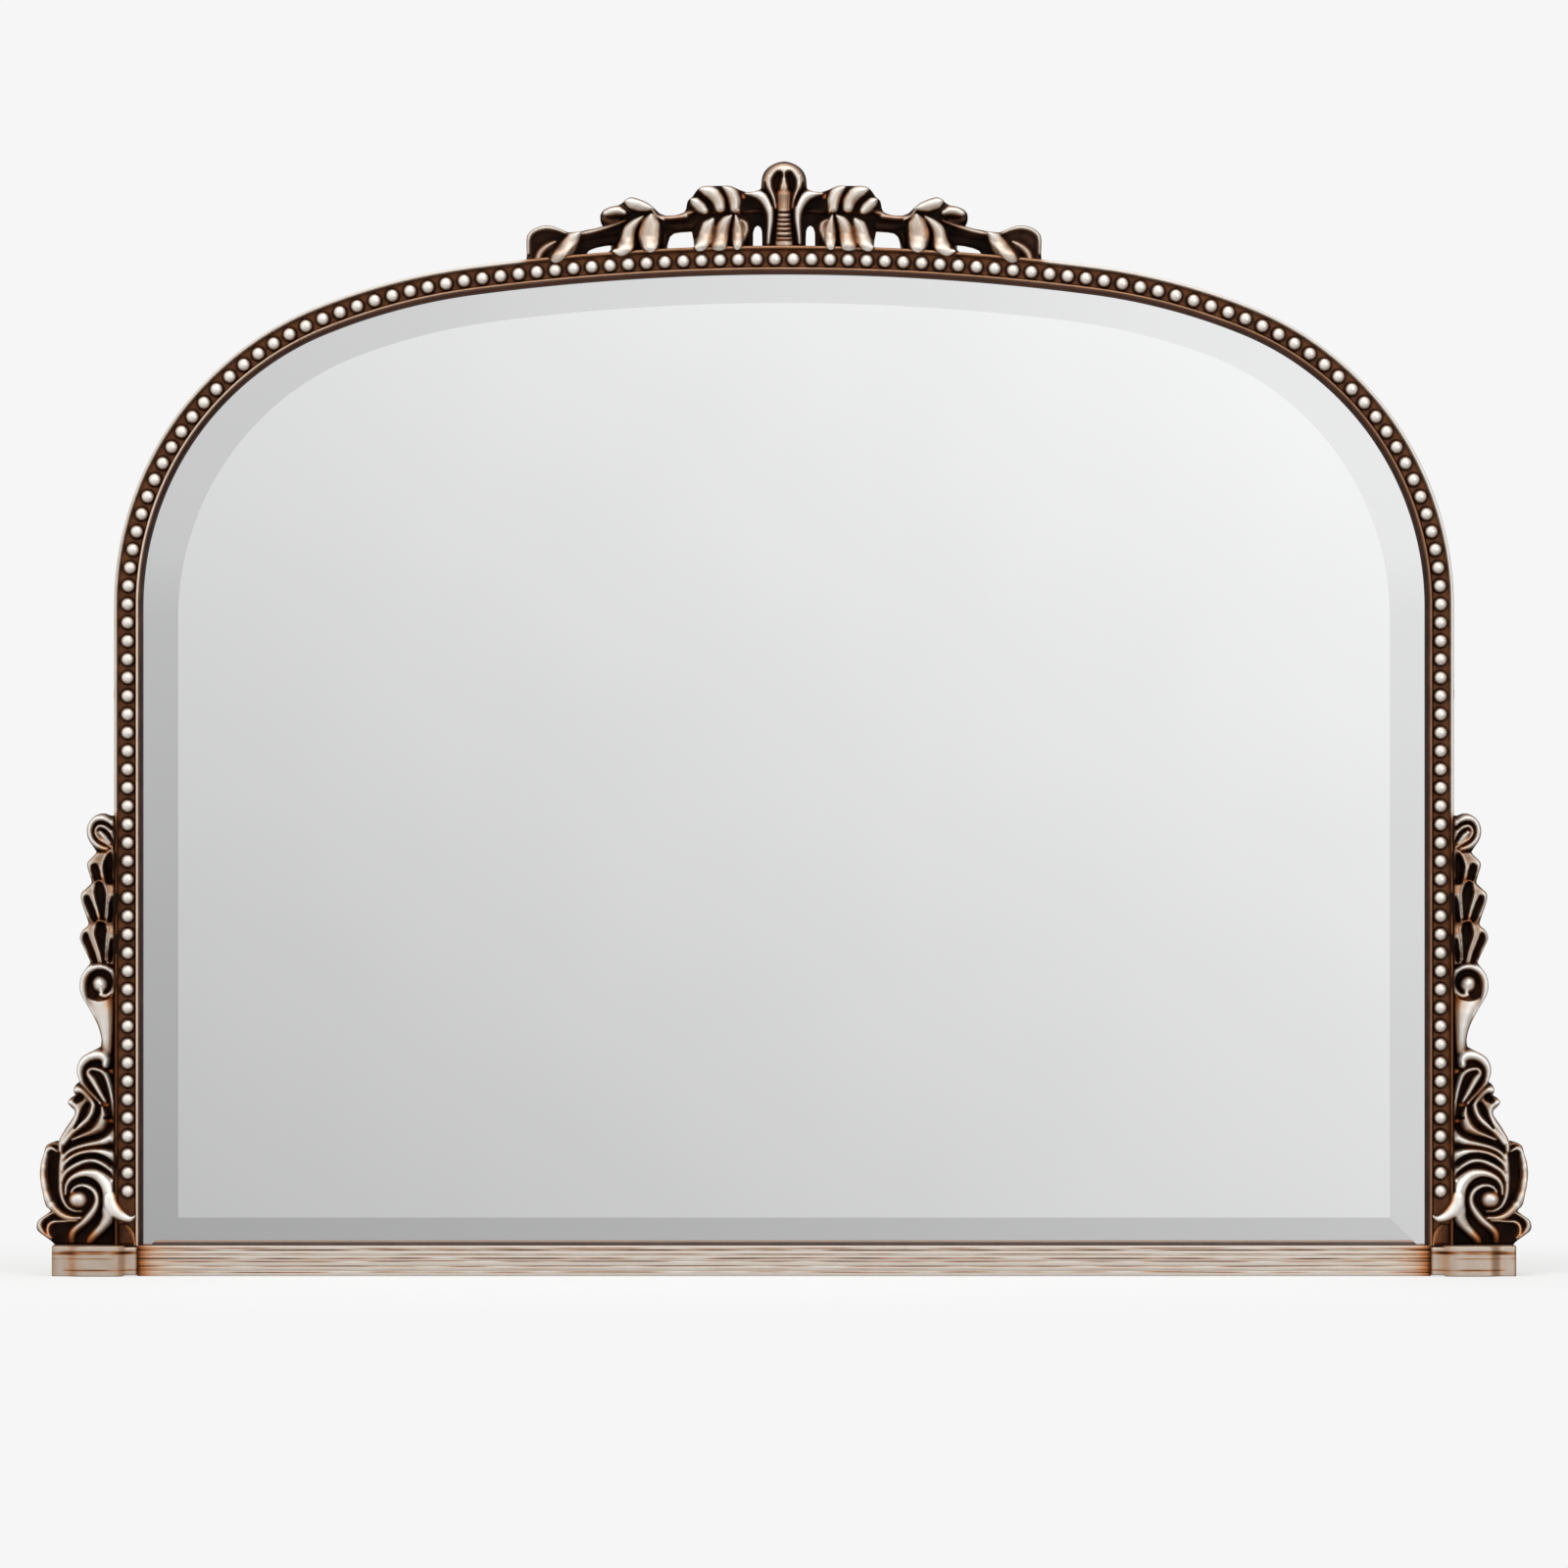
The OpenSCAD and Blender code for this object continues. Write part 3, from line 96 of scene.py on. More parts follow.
def arch_arcs(half, top, crown, haunch, crown_angle, haunch_angle):
    """The three arcs of half an arch, each tangent to the next, as (centre, radius, first, last)."""
    def unit(a):
        return np.array([math.sin(math.radians(a)), math.cos(math.radians(a))])
    sa, sh = unit(crown_angle)[0], unit(haunch_angle)[0]
    c0 = np.array([0.0, top - crown])
    c1 = c0 + (crown - haunch) * unit(crown_angle)
    corner = (half - crown * sa - haunch * (sh - sa)) / (1 - sh)
    c2 = c1 + (haunch - corner) * unit(haunch_angle)
    return [(c0, crown, 0.0, crown_angle), (c1, haunch, crown_angle, haunch_angle), (c2, corner, haunch_angle, 90.0)]


SIGHT = arch_arcs(SIGHT_HALF, SIGHT_TOP, CROWN_RADIUS, HAUNCH_RADIUS, CROWN_ANGLE, HAUNCH_ANGLE)
FIELD = arch_arcs(FIELD_HALF, FIELD_TOP, FIELD_CROWN, FIELD_HAUNCH, FIELD_CROWN_ANGLE, FIELD_HAUNCH_ANGLE)
SPRING_Z = SIGHT[2][0][1]


def on_arc(arc, angle):
    """Points on an arc at angles from the vertical, and the outward directions there."""
    a = np.radians(np.atleast_1d(angle))
    out = np.stack([np.sin(a), np.cos(a)], -1)
    return arc[0] + arc[1] * out, out


# Meshes

def placed(x, z, d):
    """Drawing coordinates (across, up, forward of the back plane) in mm to metres in the frame."""
    x, z, d = np.broadcast_arrays(x, z, d)
    return np.stack([x * MM, BACK_Y - d * MM, z * MM], -1).reshape(-1, 3)


def signed_volume(verts, quads, polygons):
    """Volume of a closed mesh, negative where its faces point inwards."""
    a, b, c, d = (verts[quads[:, k]] for k in range(4))
    total = np.einsum("ij,ij->i", a, np.cross(b, c) + np.cross(c, d)).sum()
    for p in polygons:
        v = verts[np.asarray(p)]
        total += np.einsum("ij,ij->", np.broadcast_to(v[0], v[1:-1].shape), np.cross(v[1:-1], v[2:]))
    return total / 6


def new_object(name, data):
    obj = bpy.data.objects.new(name, data)
    bpy.context.scene.collection.objects.link(obj)
    return obj


def piece(name, verts, quads, polygons, stands_for, materials, values=None, face_material=None,
          slot="gilding", crease=0.0):
    """A closed mesh from arrays, faces turned outwards, which rides on the frame. Edges sharper than
    the crease, in degrees, stay hard, and without a crease all of them do."""
    quads = np.asarray(quads, int).reshape(-1, 4)
    polygons = [list(p) for p in polygons]
    if signed_volume(verts, quads, polygons) < 0:
        quads = quads[:, ::-1]
        polygons = [p[::-1] for p in polygons]
    mesh = bpy.data.meshes.new(name)
    mesh.from_pydata(verts, [], quads.tolist() + polygons)
    for key, data in (values or {}).items():
        mesh.attributes.new(key, "FLOAT", "POINT").data.foreach_set("value", np.asarray(data, np.float32).ravel())
    for m in materials:
        mesh.materials.append(m)
    if face_material is not None:
        mesh.polygons.foreach_set("material_index", np.asarray(face_material, np.int32))
    mesh.polygons.foreach_set("use_smooth", np.full(len(mesh.polygons), crease > 0))
    if crease:
        mesh.set_sharp_from_angle(angle=math.radians(crease))
    mesh.update()
    obj = new_object(name, mesh)
    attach(obj, "frame")
    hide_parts(*stands_for)
    return obj


def carried(n, m):
    """Quads and end caps of a closed section of m points carried along n stations, with point k of
    station i at i * m + k."""
    i, k = np.meshgrid(np.arange(n - 1), np.arange(m), indexing="ij")
    j = (k + 1) % m
    quads = np.stack([i * m + k, i * m + j, (i + 1) * m + j, (i + 1) * m + k], -1).reshape(-1, 4)
    return quads, [range(m - 1, -1, -1), range((n - 1) * m, n * m)]


def swept(name, x, z, d, **settings):
    """A piece whose closed section runs along the arrays' second axis and is carried along their first."""
    return piece(name, placed(x, z, d), *carried(*x.shape), **settings)


# Shaders

def linear(*rgb):
    """A colour written as 0 to 255 in sRGB, as linear red, green and blue with alpha."""
    c = [v / 255 for v in rgb]
    return tuple(v / 12.92 if v <= 0.04045 else ((v + 0.055) / 1.055) ** 2.4 for v in c) + (1.0,)


def finish_colour(key, share=1.0):
    """A colour from the panel's finishes with alpha, darkened to a share of itself."""
    return tuple(share * v for v in getattr(bpy.context.scene.mirror_finish, key)) + (1,)


def feed(tree, target, inputs):
    """Sets inputs of a node, each to a value or by a link from a socket."""
    for key, value in inputs.items():
        if isinstance(value, bpy.types.NodeSocket):
            tree.links.new(value, target.inputs[key])
        else:
            target.inputs[key].default_value = value


def node(tree, kind, inputs=None, **settings):
    """Adds a node, with settings as attributes and inputs as values or links."""
    n = tree.nodes.new(kind)
    for key, value in settings.items():
        setattr(n, key, value)
    feed(tree, n, inputs or {})
    return n


def maths(tree, operation, *values, clamp=False):
    """Carries one operation through the values from left to right."""
    result = values[0]
    for value in values[1:] or (0.0,):
        result = node(tree, "ShaderNodeMath", {0: result, 1: value}, operation=operation, use_clamp=clamp).outputs[0]
    return result


def plus(tree, *values, clamp=False):
    return maths(tree, "ADD", *values, clamp=clamp)


def minus(tree, *values):
    return maths(tree, "SUBTRACT", *values)


def times(tree, *values):
    return maths(tree, "MULTIPLY", *values)


def length_of(tree, a, b):
    """Root of a squared plus b squared."""
    return maths(tree, "SQRT", plus(tree, times(tree, a, a), times(tree, b, b)))


def attribute(tree, name):
    return node(tree, "ShaderNodeAttribute", attribute_name=name).outputs["Fac"]


def ranged(tree, value, low, high, to_low=0.0, to_high=1.0, smooth=False):
    return node(tree, "ShaderNodeMapRange", {"Value": value, "From Min": low, "From Max": high, "To Min": to_low,
                                             "To Max": to_high},
                interpolation_type="SMOOTHSTEP" if smooth else "LINEAR").outputs["Result"]


def ramp(tree, value, stops):
    """Colour ramp through (position, linear colour) stops."""
    r = node(tree, "ShaderNodeValToRGB", {"Fac": value})
    e = r.color_ramp.elements
    while len(e) < len(stops):
        e.new(0.5)
    for item, (position, colour) in zip(e, stops):
        item.position = position
    for item, (position, colour) in zip(e, stops):
        item.color = colour
    return r.outputs["Color"]


def noise(tree, vector, scale, detail=3.0, rough=0.5):
    return node(tree, "ShaderNodeTexNoise", {"Vector": vector, "Scale": scale, "Detail": detail,
                                             "Roughness": rough}).outputs["Fac"]


def bump(tree, height, strength, distance):
    return node(tree, "ShaderNodeBump", {"Height": height, "Strength": strength, "Distance": distance}).outputs[0]


def mix_colour(tree, factor, a, b):
    """Mixes two colours. The sockets are numbered, because the node's colour and number modes share their names."""
    return node(tree, "ShaderNodeMix", {0: factor, 6: a, 7: b}, data_type="RGBA").outputs[2]


def material(name):
    """A new node material, its tree, its Principled shader and the object's own coordinates."""
    m = bpy.data.materials.new(name)
    m.use_nodes = True
    tree = m.node_tree
    tree.nodes.clear()
    shader = node(tree, "ShaderNodeBsdfPrincipled")
    node(tree, "ShaderNodeOutputMaterial", {"Surface": shader.outputs[0]})
    return m, tree, shader, node(tree, "ShaderNodeTexCoord").outputs["Object"]


def aged_leaf_group():
    """Antique silver leaf over brown: colour, roughness, metallic, specular and height from a tone
    of 0, deep in the patina and painted shade, where it barely shines, to 1, rubbed bright and
    painted as highlight, broken up by clouding and fine specks. Warm, with its own share of copper
    glints, which are painted highlights, swaps in the copper tints of the bole and of painted glints."""
    if "aged_leaf" in bpy.data.node_groups:
        return bpy.data.node_groups["aged_leaf"]
    g = bpy.data.node_groups.new("aged_leaf", "ShaderNodeTree")
    for in_out, kind, names in (("INPUT", "Float", ("Tone", "Clouding", "Copper", "Warm")),
                                ("INPUT", "Vector", ("Vector",)), ("OUTPUT", "Color", ("Color",)),
                                ("OUTPUT", "Float", ("Roughness", "Metallic", "Specular", "Height"))):
        for name in names:
            g.interface.new_socket(name=name, in_out=in_out, socket_type="NodeSocket" + kind)
    given = node(g, "NodeGroupInput").outputs
    cloud = noise(g, given["Vector"], 55.0, 4.0, 0.6)
    speck = noise(g, given["Vector"], 620.0, 3.0, 0.6)
    glint = noise(g, given["Vector"], 150.0, 2.0)
    shift = plus(g, times(g, minus(g, cloud, 0.5), 0.26), times(g, minus(g, speck, 0.5), 0.10))
    tone = plus(g, given["Tone"], times(g, shift, given["Clouding"]), clamp=True)

    def palette(**stops):
        return ramp(g, tone, [(stop, finish_colour(key)) for key, stop in stops.items()])

    silver = palette(recess=0.0, umber=0.12, brown=0.25, taupe=0.48, pewter=0.63, leaf=0.8, ridge=1.0)
    bole = palette(recess=0.0, bronze=0.2, copper=0.45, gold=0.72, ridge=1.0)
    # the mid tones, where copper glints are painted as highlights
    glint_band = times(g, ranged(g, tone, 0.1, 0.24, smooth=True), ranged(g, tone, 0.66, 0.42, smooth=True))
    glints = times(g, glint_band, ranged(g, glint, 0.42, 0.62, smooth=True), given["Copper"])
    warm = plus(g, times(g, glints, 0.7), given["Warm"], clamp=True)
    node(g, "NodeGroupOutput", {
        "Color": mix_colour(g, warm, silver, bole),
        "Roughness": ranged(g, tone, 0.2, 0.85, 0.5, 0.36),
        "Metallic": times(g, ranged(g, tone, 0.06, 0.3, 0.15, 1.0), ranged(g, tone, 0.3, 0.8, 0.88, 0.5)),
        "Specular": ranged(g, tone, 0.06, 0.3, 0.06, 0.5),
        "Height": plus(g, times(g, speck, 0.5), cloud)})
    return g


def leaf_material(name, tone=None, clouding=1.0, copper=1.0, depth=0.00012, shade=None):
    """A finish of aged leaf. Without a tone of its own it takes the piece's tone and warm attributes."""
    if name in bpy.data.materials:
        return bpy.data.materials[name]
    m, tree, shader, vector = material(name)
    warm = 0.0
    if tone is None:
        tone, warm = attribute(tree, "tone"), attribute(tree, "warm")
    if shade:
        tone = shade(tree, tone)
    leaf = node(tree, "ShaderNodeGroup", {"Tone": tone, "Clouding": clouding, "Copper": copper, "Warm": warm,
                                          "Vector": vector}, node_tree=aged_leaf_group()).outputs
    feed(tree, shader, {"Base Color": leaf["Color"], "Roughness": leaf["Roughness"], "Metallic": leaf["Metallic"],
                        "Specular IOR Level": leaf["Specular"], "Normal": bump(tree, leaf["Height"], 0.6, depth)})
    return m


def carved_leaf():
    return leaf_material("carved_leaf", copper=0.4)


# Carved relief: heights over a front drawing, in millimetres

# Power of the fall of a stroke's flank
FLANK_BOW = 1.5


class Relief:
    """Heights over a grid of the drawing (across, up), carved from rounded strokes, each drawn
    swell times its given width."""

    def __init__(self, across, up, step):
        self.step = step
        self.x = np.arange(across[0], across[1] + step, step)
        self.z = np.arange(up[0], up[1] + step, step)
        self.X, self.Z = np.meshgrid(self.x, self.z)
        self.H, self.tone, self.warm, self.rub = (np.zeros_like(self.X) for _ in range(4))
        self.swell = 1.0

    def stroke(self, points, width, height, skirt, crown=0.35):
        """Height of one stroke: over its half width it falls by crown times q squared, where q is
        the distance from the spine in half widths, then by a concave flank of skirt half widths."""
        p = smooth_line(points)
        n = len(points)
        u = np.linspace(0, n - 1, len(p))
        w = np.interp(u, np.arange(n), np.broadcast_to(width, n)) * self.swell
        h = np.interp(u, np.arange(n), np.broadcast_to(height, n))
        out = np.zeros_like(self.H)
        reach = w.max() * (1 + skirt) + self.step
        for a, b, wa, wb, ha, hb in zip(p[:-1], p[1:], w[:-1], w[1:], h[:-1], h[1:]):
            lo, hi = np.minimum(a, b) - reach, np.maximum(a, b) + reach
            i0, i1 = np.searchsorted(self.x, (lo[0], hi[0]))
            j0, j1 = np.searchsorted(self.z, (lo[1], hi[1]))
            window = slice(j0, j1 + 1), slice(i0, i1 + 1)
            far, t = from_segment(self.X[window], self.Z[window], a, b)
            q = far / np.maximum(wa + (wb - wa) * t, 0.05)
            flank = np.clip(1 - (q - 1) / skirt, 0, 1) ** FLANK_BOW * (1 - crown)
            v = np.where(q < 1, 1 - crown * q ** 2, flank) * (ha + (hb - ha) * t)
            out[window] = np.maximum(out[window], v)
        return out

    def add(self, points, width, height, skirt, crown=0.35):
        """Raises the relief to the stroke wherever the stroke stands higher."""
        self.H = np.maximum(self.H, self.stroke(points, width, height, skirt, crown))

    def cut(self, points, width, depth, skirt):
        """Sinks a rounded groove along the stroke."""
        self.H = self.H - self.stroke(points, width, depth, skirt)

    def tint_copper_and_glints(self, points, width, strength, skirt=1.2):
        """Marks copper tint along the stroke: where the bole shows through, and painted copper glints."""
        self.warm = np.maximum(self.warm, self.stroke(points, width, strength, skirt, 0.1))

    def paint_light_and_shade(self, points, width, amount, skirt=1.0):
        """Paints the leaf brighter along the stroke as highlight, or darker as shade where amount is negative."""
        self.rub += amount * self.stroke(points, width, 1.0, skirt, 0.1)

    def raise_inside(self, outline, height, soft=1.5):
        """A low body inside an outline, its edge rounded over a soft width."""
        self.H = np.maximum(self.H, height * round_edge(self.inside(outline), soft))

    def inside(self, outline):
        """Distance of the grid's nodes inside an outline."""
        return inside_of(self.X, self.Z, outline)

    def inside_any(self, outlines):
        """Distance inside the nearest of several outlines, each smoothed."""
        return np.max([self.inside(smooth_line(outline, 4)) for outline in outlines], axis=0)

    def round_off(self, inside, radius):
        """Rounds the relief down to its thin edge over a radius inside its outline."""
        self.H = np.maximum(self.H, 1.2) * (0.3 + 0.7 * round_edge(inside, radius))

    def lap_over(self, over, lap, lift, near):
        """Raises a leaf to lift where it laps over the moulding, and by the share near beside that."""
        self.H = np.where(over & (lap > 0), np.maximum(self.H, lift), self.H + near * np.clip(lift - self.H, 0, None))


def smooth_line(points, per_span=6):
    """Catmull-Rom curve through the points."""
    p = np.asarray(points, float)
    q = np.vstack([2 * p[0] - p[1], p, 2 * p[-1] - p[-2]])
    t = np.linspace(0, 1, per_span, endpoint=False)[:, None]
    spans = [0.5 * (2 * b + (c - a) * t + (2 * a - 5 * b + 4 * c - d) * t ** 2
                    + (3 * b - a - 3 * c + d) * t ** 3)
             for a, b, c, d in zip(q[:-3], q[1:-2], q[2:-1], q[3:])]
    return np.vstack(spans + [p[-1:]])


def from_segment(X, Z, a, b):
    """Distance from the segment a to b, and where its nearest point lies, from 0 at a to 1 at b."""
    d = b - a
    t = np.clip(((X - a[0]) * d[0] + (Z - a[1]) * d[1]) / max(d @ d, 1e-9), 0, 1)
    return np.hypot(X - a[0] - t * d[0], Z - a[1] - t * d[1]), t


def inside_of(X, Z, outline):
    """Distance to a closed outline, positive inside it and negative outside."""
    p = np.asarray(outline, float)
    d = np.full(X.shape, 1e9)
    inside = np.zeros(X.shape, bool)
    for a, b in zip(p, np.roll(p, -1, 0)):
        d = np.minimum(d, from_segment(X, Z, a, b)[0])
        if a[1] != b[1]:
            inside ^= ((a[1] > Z) != (b[1] > Z)) & (X < (b[0] - a[0]) * (Z - a[1]) / (b[1] - a[1]) + a[0])
    return np.where(inside, d, -d)


def round_edge(distance, radius):
    """Quarter-round fall towards an edge: 1 from the radius inwards, 0 at the edge."""
    return np.sqrt(np.clip(1 - (1 - np.clip(distance / radius, 0, 1)) ** 2, 0, 1))


def soften(a, sigma):
    """Gaussian blur along both directions of a grid, sigma in grid steps."""
    r = int(3 * sigma) + 1
    k = np.exp(-0.5 * (np.arange(-r, r + 1) / sigma) ** 2)
    k /= k.sum()
    for axis in (0, 1):
        pad = [(0, 0), (0, 0)]
        pad[axis] = (r, r)
        b = np.pad(a, pad, mode="edge")
        n = a.shape[axis]
        a = sum(k[i] * b.take(np.arange(i, i + n), axis) for i in range(2 * r + 1))
    return a


def patina_and_painted_light(H, step):
    """Tone of the relief, 0 to 1, from its height above the mean of its neighbourhood at two sizes
    and above the ground, so ridges come out near 1 and grooves near 0: partly patina and rubbed
    leaf, partly painted shade in the grooves and painted highlight on the ridges."""
    near = H - soften(H, 1.8 / step)
    wide = H - soften(H, 5.0 / step)
    tone = 0.355 + 0.079 * near + 0.061 * wide + 0.057 * (np.minimum(H, 12) - 8.5)
    return soften(np.clip(tone, 0, 0.95), 0.7 / step)


# The side ornament, drawn as distance outward from 1 mm inside the moulding's edge and height above the floor
SIDE_EDGE, SIDE_FOOT = 1.2, 24.7
SIDE_OUTLINE = [
    (50.6, 24.7), (54, 28), (60, 32.4), (64.4, 36), (65.2, 40), (63.5, 44.7), (58.8, 48.2), (53.8, 52), (57.4, 56),
    (58.8, 60), (60, 66.5), (61.2, 71.8), (62.4, 82), (62, 87.6), (61.2, 93), (59.4, 98), (58, 104), (55.3, 107),
    (50, 109), (46.8, 109.4), (45.9, 111.8), (40, 121.8), (36.5, 126.5), (34.1, 130.6), (34.1, 134.1), (36.5, 136.5),
    (39.1, 139.4), (39.4, 141.8), (37.1, 144.7), (33.8, 147), (34.7, 149.4), (34.4, 153), (32.4, 156.2), (30, 158.2),
    (31.8, 163.5), (32.1, 168.8), (30.6, 174), (27.6, 178.2), (22.9, 181.2), (17.1, 184.1), (12.9, 186.5),
    (12.2, 192.7), (15, 204), (21, 216), (27.7, 227.3), (29.7, 233.3), (29.7, 238.7), (28.3, 244.7), (25, 250),
    (21.3, 255), (24.3, 262.7), (29.3, 273.3), (29.3, 278), (27.1, 282), (23.6, 285), (22.7, 288), (26.1, 298),
    (28.2, 304.3), (28.9, 310), (27.1, 313.6), (22.9, 316.8), (20.4, 320), (20.4, 323), (23.2, 332), (23.6, 336.4),
    (21.4, 339.6), (17.9, 343), (16.4, 345.7), (17.5, 348.6), (20.4, 352), (23.2, 357), (24.1, 363), (22.9, 368.6),
    (19.3, 373.6), (14.3, 376.6), (9.3, 377), (5, 375.4), (1.2, 375.5)]
# Lobes of the husks and leaves that lap over the moulding's outer edge
SIDE_LAPS = [
    [(1.4, 119), (-0.6, 112), (1.4, 105)], [(1.4, 101), (-2.4, 96), (-2.6, 91), (-0.8, 86), (1.4, 78)],
    [(1.4, 139), (0, 133), (1.4, 124)], [(1.4, 248), (-1.2, 243), (-1.2, 236), (1.4, 231)],
    [(1.4, 279.5), (-1.4, 278.5), (-3.2, 274.6), (-2, 266), (1.4, 257)],
    [(1.4, 313), (-2.2, 312), (-2.8, 306), (-1.6, 297), (1.4, 285)], [(1.4, 347), (-1, 345), (-1.2, 334), (1.4, 318)],
    [(1.4, 371), (-0.6, 366), (-0.6, 355), (1.4, 350)]]


def carve_foot_and_shell(f):
    """Foot leaf and fluted shell rim."""
    f.raise_inside([(45, 48), (56, 51), (61, 75), (60, 95), (56, 107), (46, 108), (45, 100)], 3.5)
    rim = smooth_line([(48, 101), (53, 103.5), (57, 100.5), (58.6, 94), (59.4, 88), (59.6, 80), (58.8, 72), (57, 65),
                       (54.4, 59), (50.6, 54.3), (46, 50.2), (41, 47.4), (35, 46.4), (29, 46.6)], 4)
    run = np.r_[0, np.cumsum(np.hypot(*np.diff(rim, axis=0).T))]
    body = np.interp(run, (0, 8, 20, 45, 60, 70, 80, 90), (0.9, 1.6, 2.2, 2.9, 3.1, 2.6, 1.7, 0.9))
    scallop = np.where((run > 10) & (run < 62), 0.6 * np.sin(run * 2 * np.pi / 10.8) ** 2, 0)
    f.add(rim[::2], 1.3 * (body + scallop)[::2], (10 + 1.4 * scallop)[::2], 1, 0.5)
    for k, w in enumerate((1.1, 1.0, 0.8)):
        f.add([(54.6 - 3.2 * k, 97), (56.0 - 3.3 * k, 88), (55.6 - 3.2 * k, 76), (52.6 - 2.8 * k, 64),
               (48.6 - 2.4 * k, 55)], [0.5, w, w, w, 0.5], 5.8 - 0.8 * k, 1.8)
    f.add([(46.5, 105.5), (51, 107.3), (55.4, 106), (58.2, 101.5)], [1.2, 1.8, 1.9, 1], 7, 1.2, 0.5)
    f.add([(50, 51), (55, 49.4), (60.4, 46), (62.6, 41), (60.4, 35.6), (54.6, 30)], [1.4, 2.4, 3, 3.2, 2.8, 1.4], 8.5,
          1.6, 0.6)
    f.add([(31.5, 44.2), (40.6, 43.9), (46.5, 43.7), (51.2, 43.3), (54.6, 41), (55.7, 37), (54.9, 32.9), (52.4, 30)],
          [0.9, 1.1, 1.3, 1.5, 1.6, 1.6, 1.4, 1], 9, 1.9)


def carve_scroll(f):
    """Great spiral with its ball, the great leaf and the ridges above them."""
    f.add([(44, 98), (44.6, 90), (45, 82), (45, 74), (44.6, 67), (43, 61), (39.5, 55.5), (34, 52.5), (28, 52)],
          [1.7, 2, 2, 1.8, 1.6, 1.4, 1.2, 1, 0.7], 10, 1.8)
    f.add([(36, 24), (35.8, 33), (32, 38.5), (26, 43.5), (20.5, 49.5), (16.5, 55.5), (15, 61), (16, 66), (19, 70),
           (24, 72.7), (29, 73.2), (33.6, 71.4), (36.6, 67.6)],
          [2.9, 2.7, 2.5, 2.5, 2.6, 2.5, 2.3, 2.1, 1.8, 1.4, 1.2, 1.1, 0.9],
          [6, 8, 9.5, 10.5, 11, 11.5, 11.5, 11.5, 11.5, 11.5, 11, 11, 11.5], 1.5, 0.4)
    f.add([(30.4, 61.6), (32.2, 61.6)], [5.6, 5.6], 12.5, 0.16, 0.5)
    f.add([(22, 24), (21, 28), (17, 33), (11, 39.5), (6.5, 46), (4, 53), (3, 62), (4.5, 70), (9, 77), (16, 82),
           (24, 83.4), (31, 82), (37, 78.5), (40.5, 73), (41, 66)],
          [2.6, 2.8, 2.8, 3, 3.6, 4.8, 5.2, 4.8, 4, 3.3, 2.4, 2, 1.6, 1.3, 1],
          [6, 8, 9.5, 11.5, 15, 18.6, 19.2, 17, 15, 13.5, 12.2, 11.5, 11, 10.5, 10], 0.8, 0.3)
    f.add([(0, 79), (1.5, 83), (5, 86.5), (9.5, 89.8), (14, 92.2), (19, 93.6), (24.5, 93.2), (30, 91.2), (35.5, 88.2),
           (40, 85), (43, 81), (44.5, 76)], [1.1, 1.3, 1.5, 1.5, 1.4, 1.4, 1.4, 1.5, 1.5, 1.6, 1.6, 1.1], 11, 3)
    f.add([(-1.5, 92), (0.5, 95.5), (4, 98), (9, 100), (15, 100.9), (22, 100.7), (29, 99.4), (35, 96.8), (39.5, 93.8),
           (43, 90), (44.5, 85)], [1, 2.2, 2.6, 2.3, 1.9, 1.6, 1.5, 1.5, 1.5, 1.6, 1.7], 11, 1.6)
    f.cut([(7, 94.4), (14, 97), (21, 97.6), (28, 96.4), (34, 94), (39, 90.6)], [0.6, 1.4, 1.6, 1.5, 1.3, 0.6], 5, 0.8)


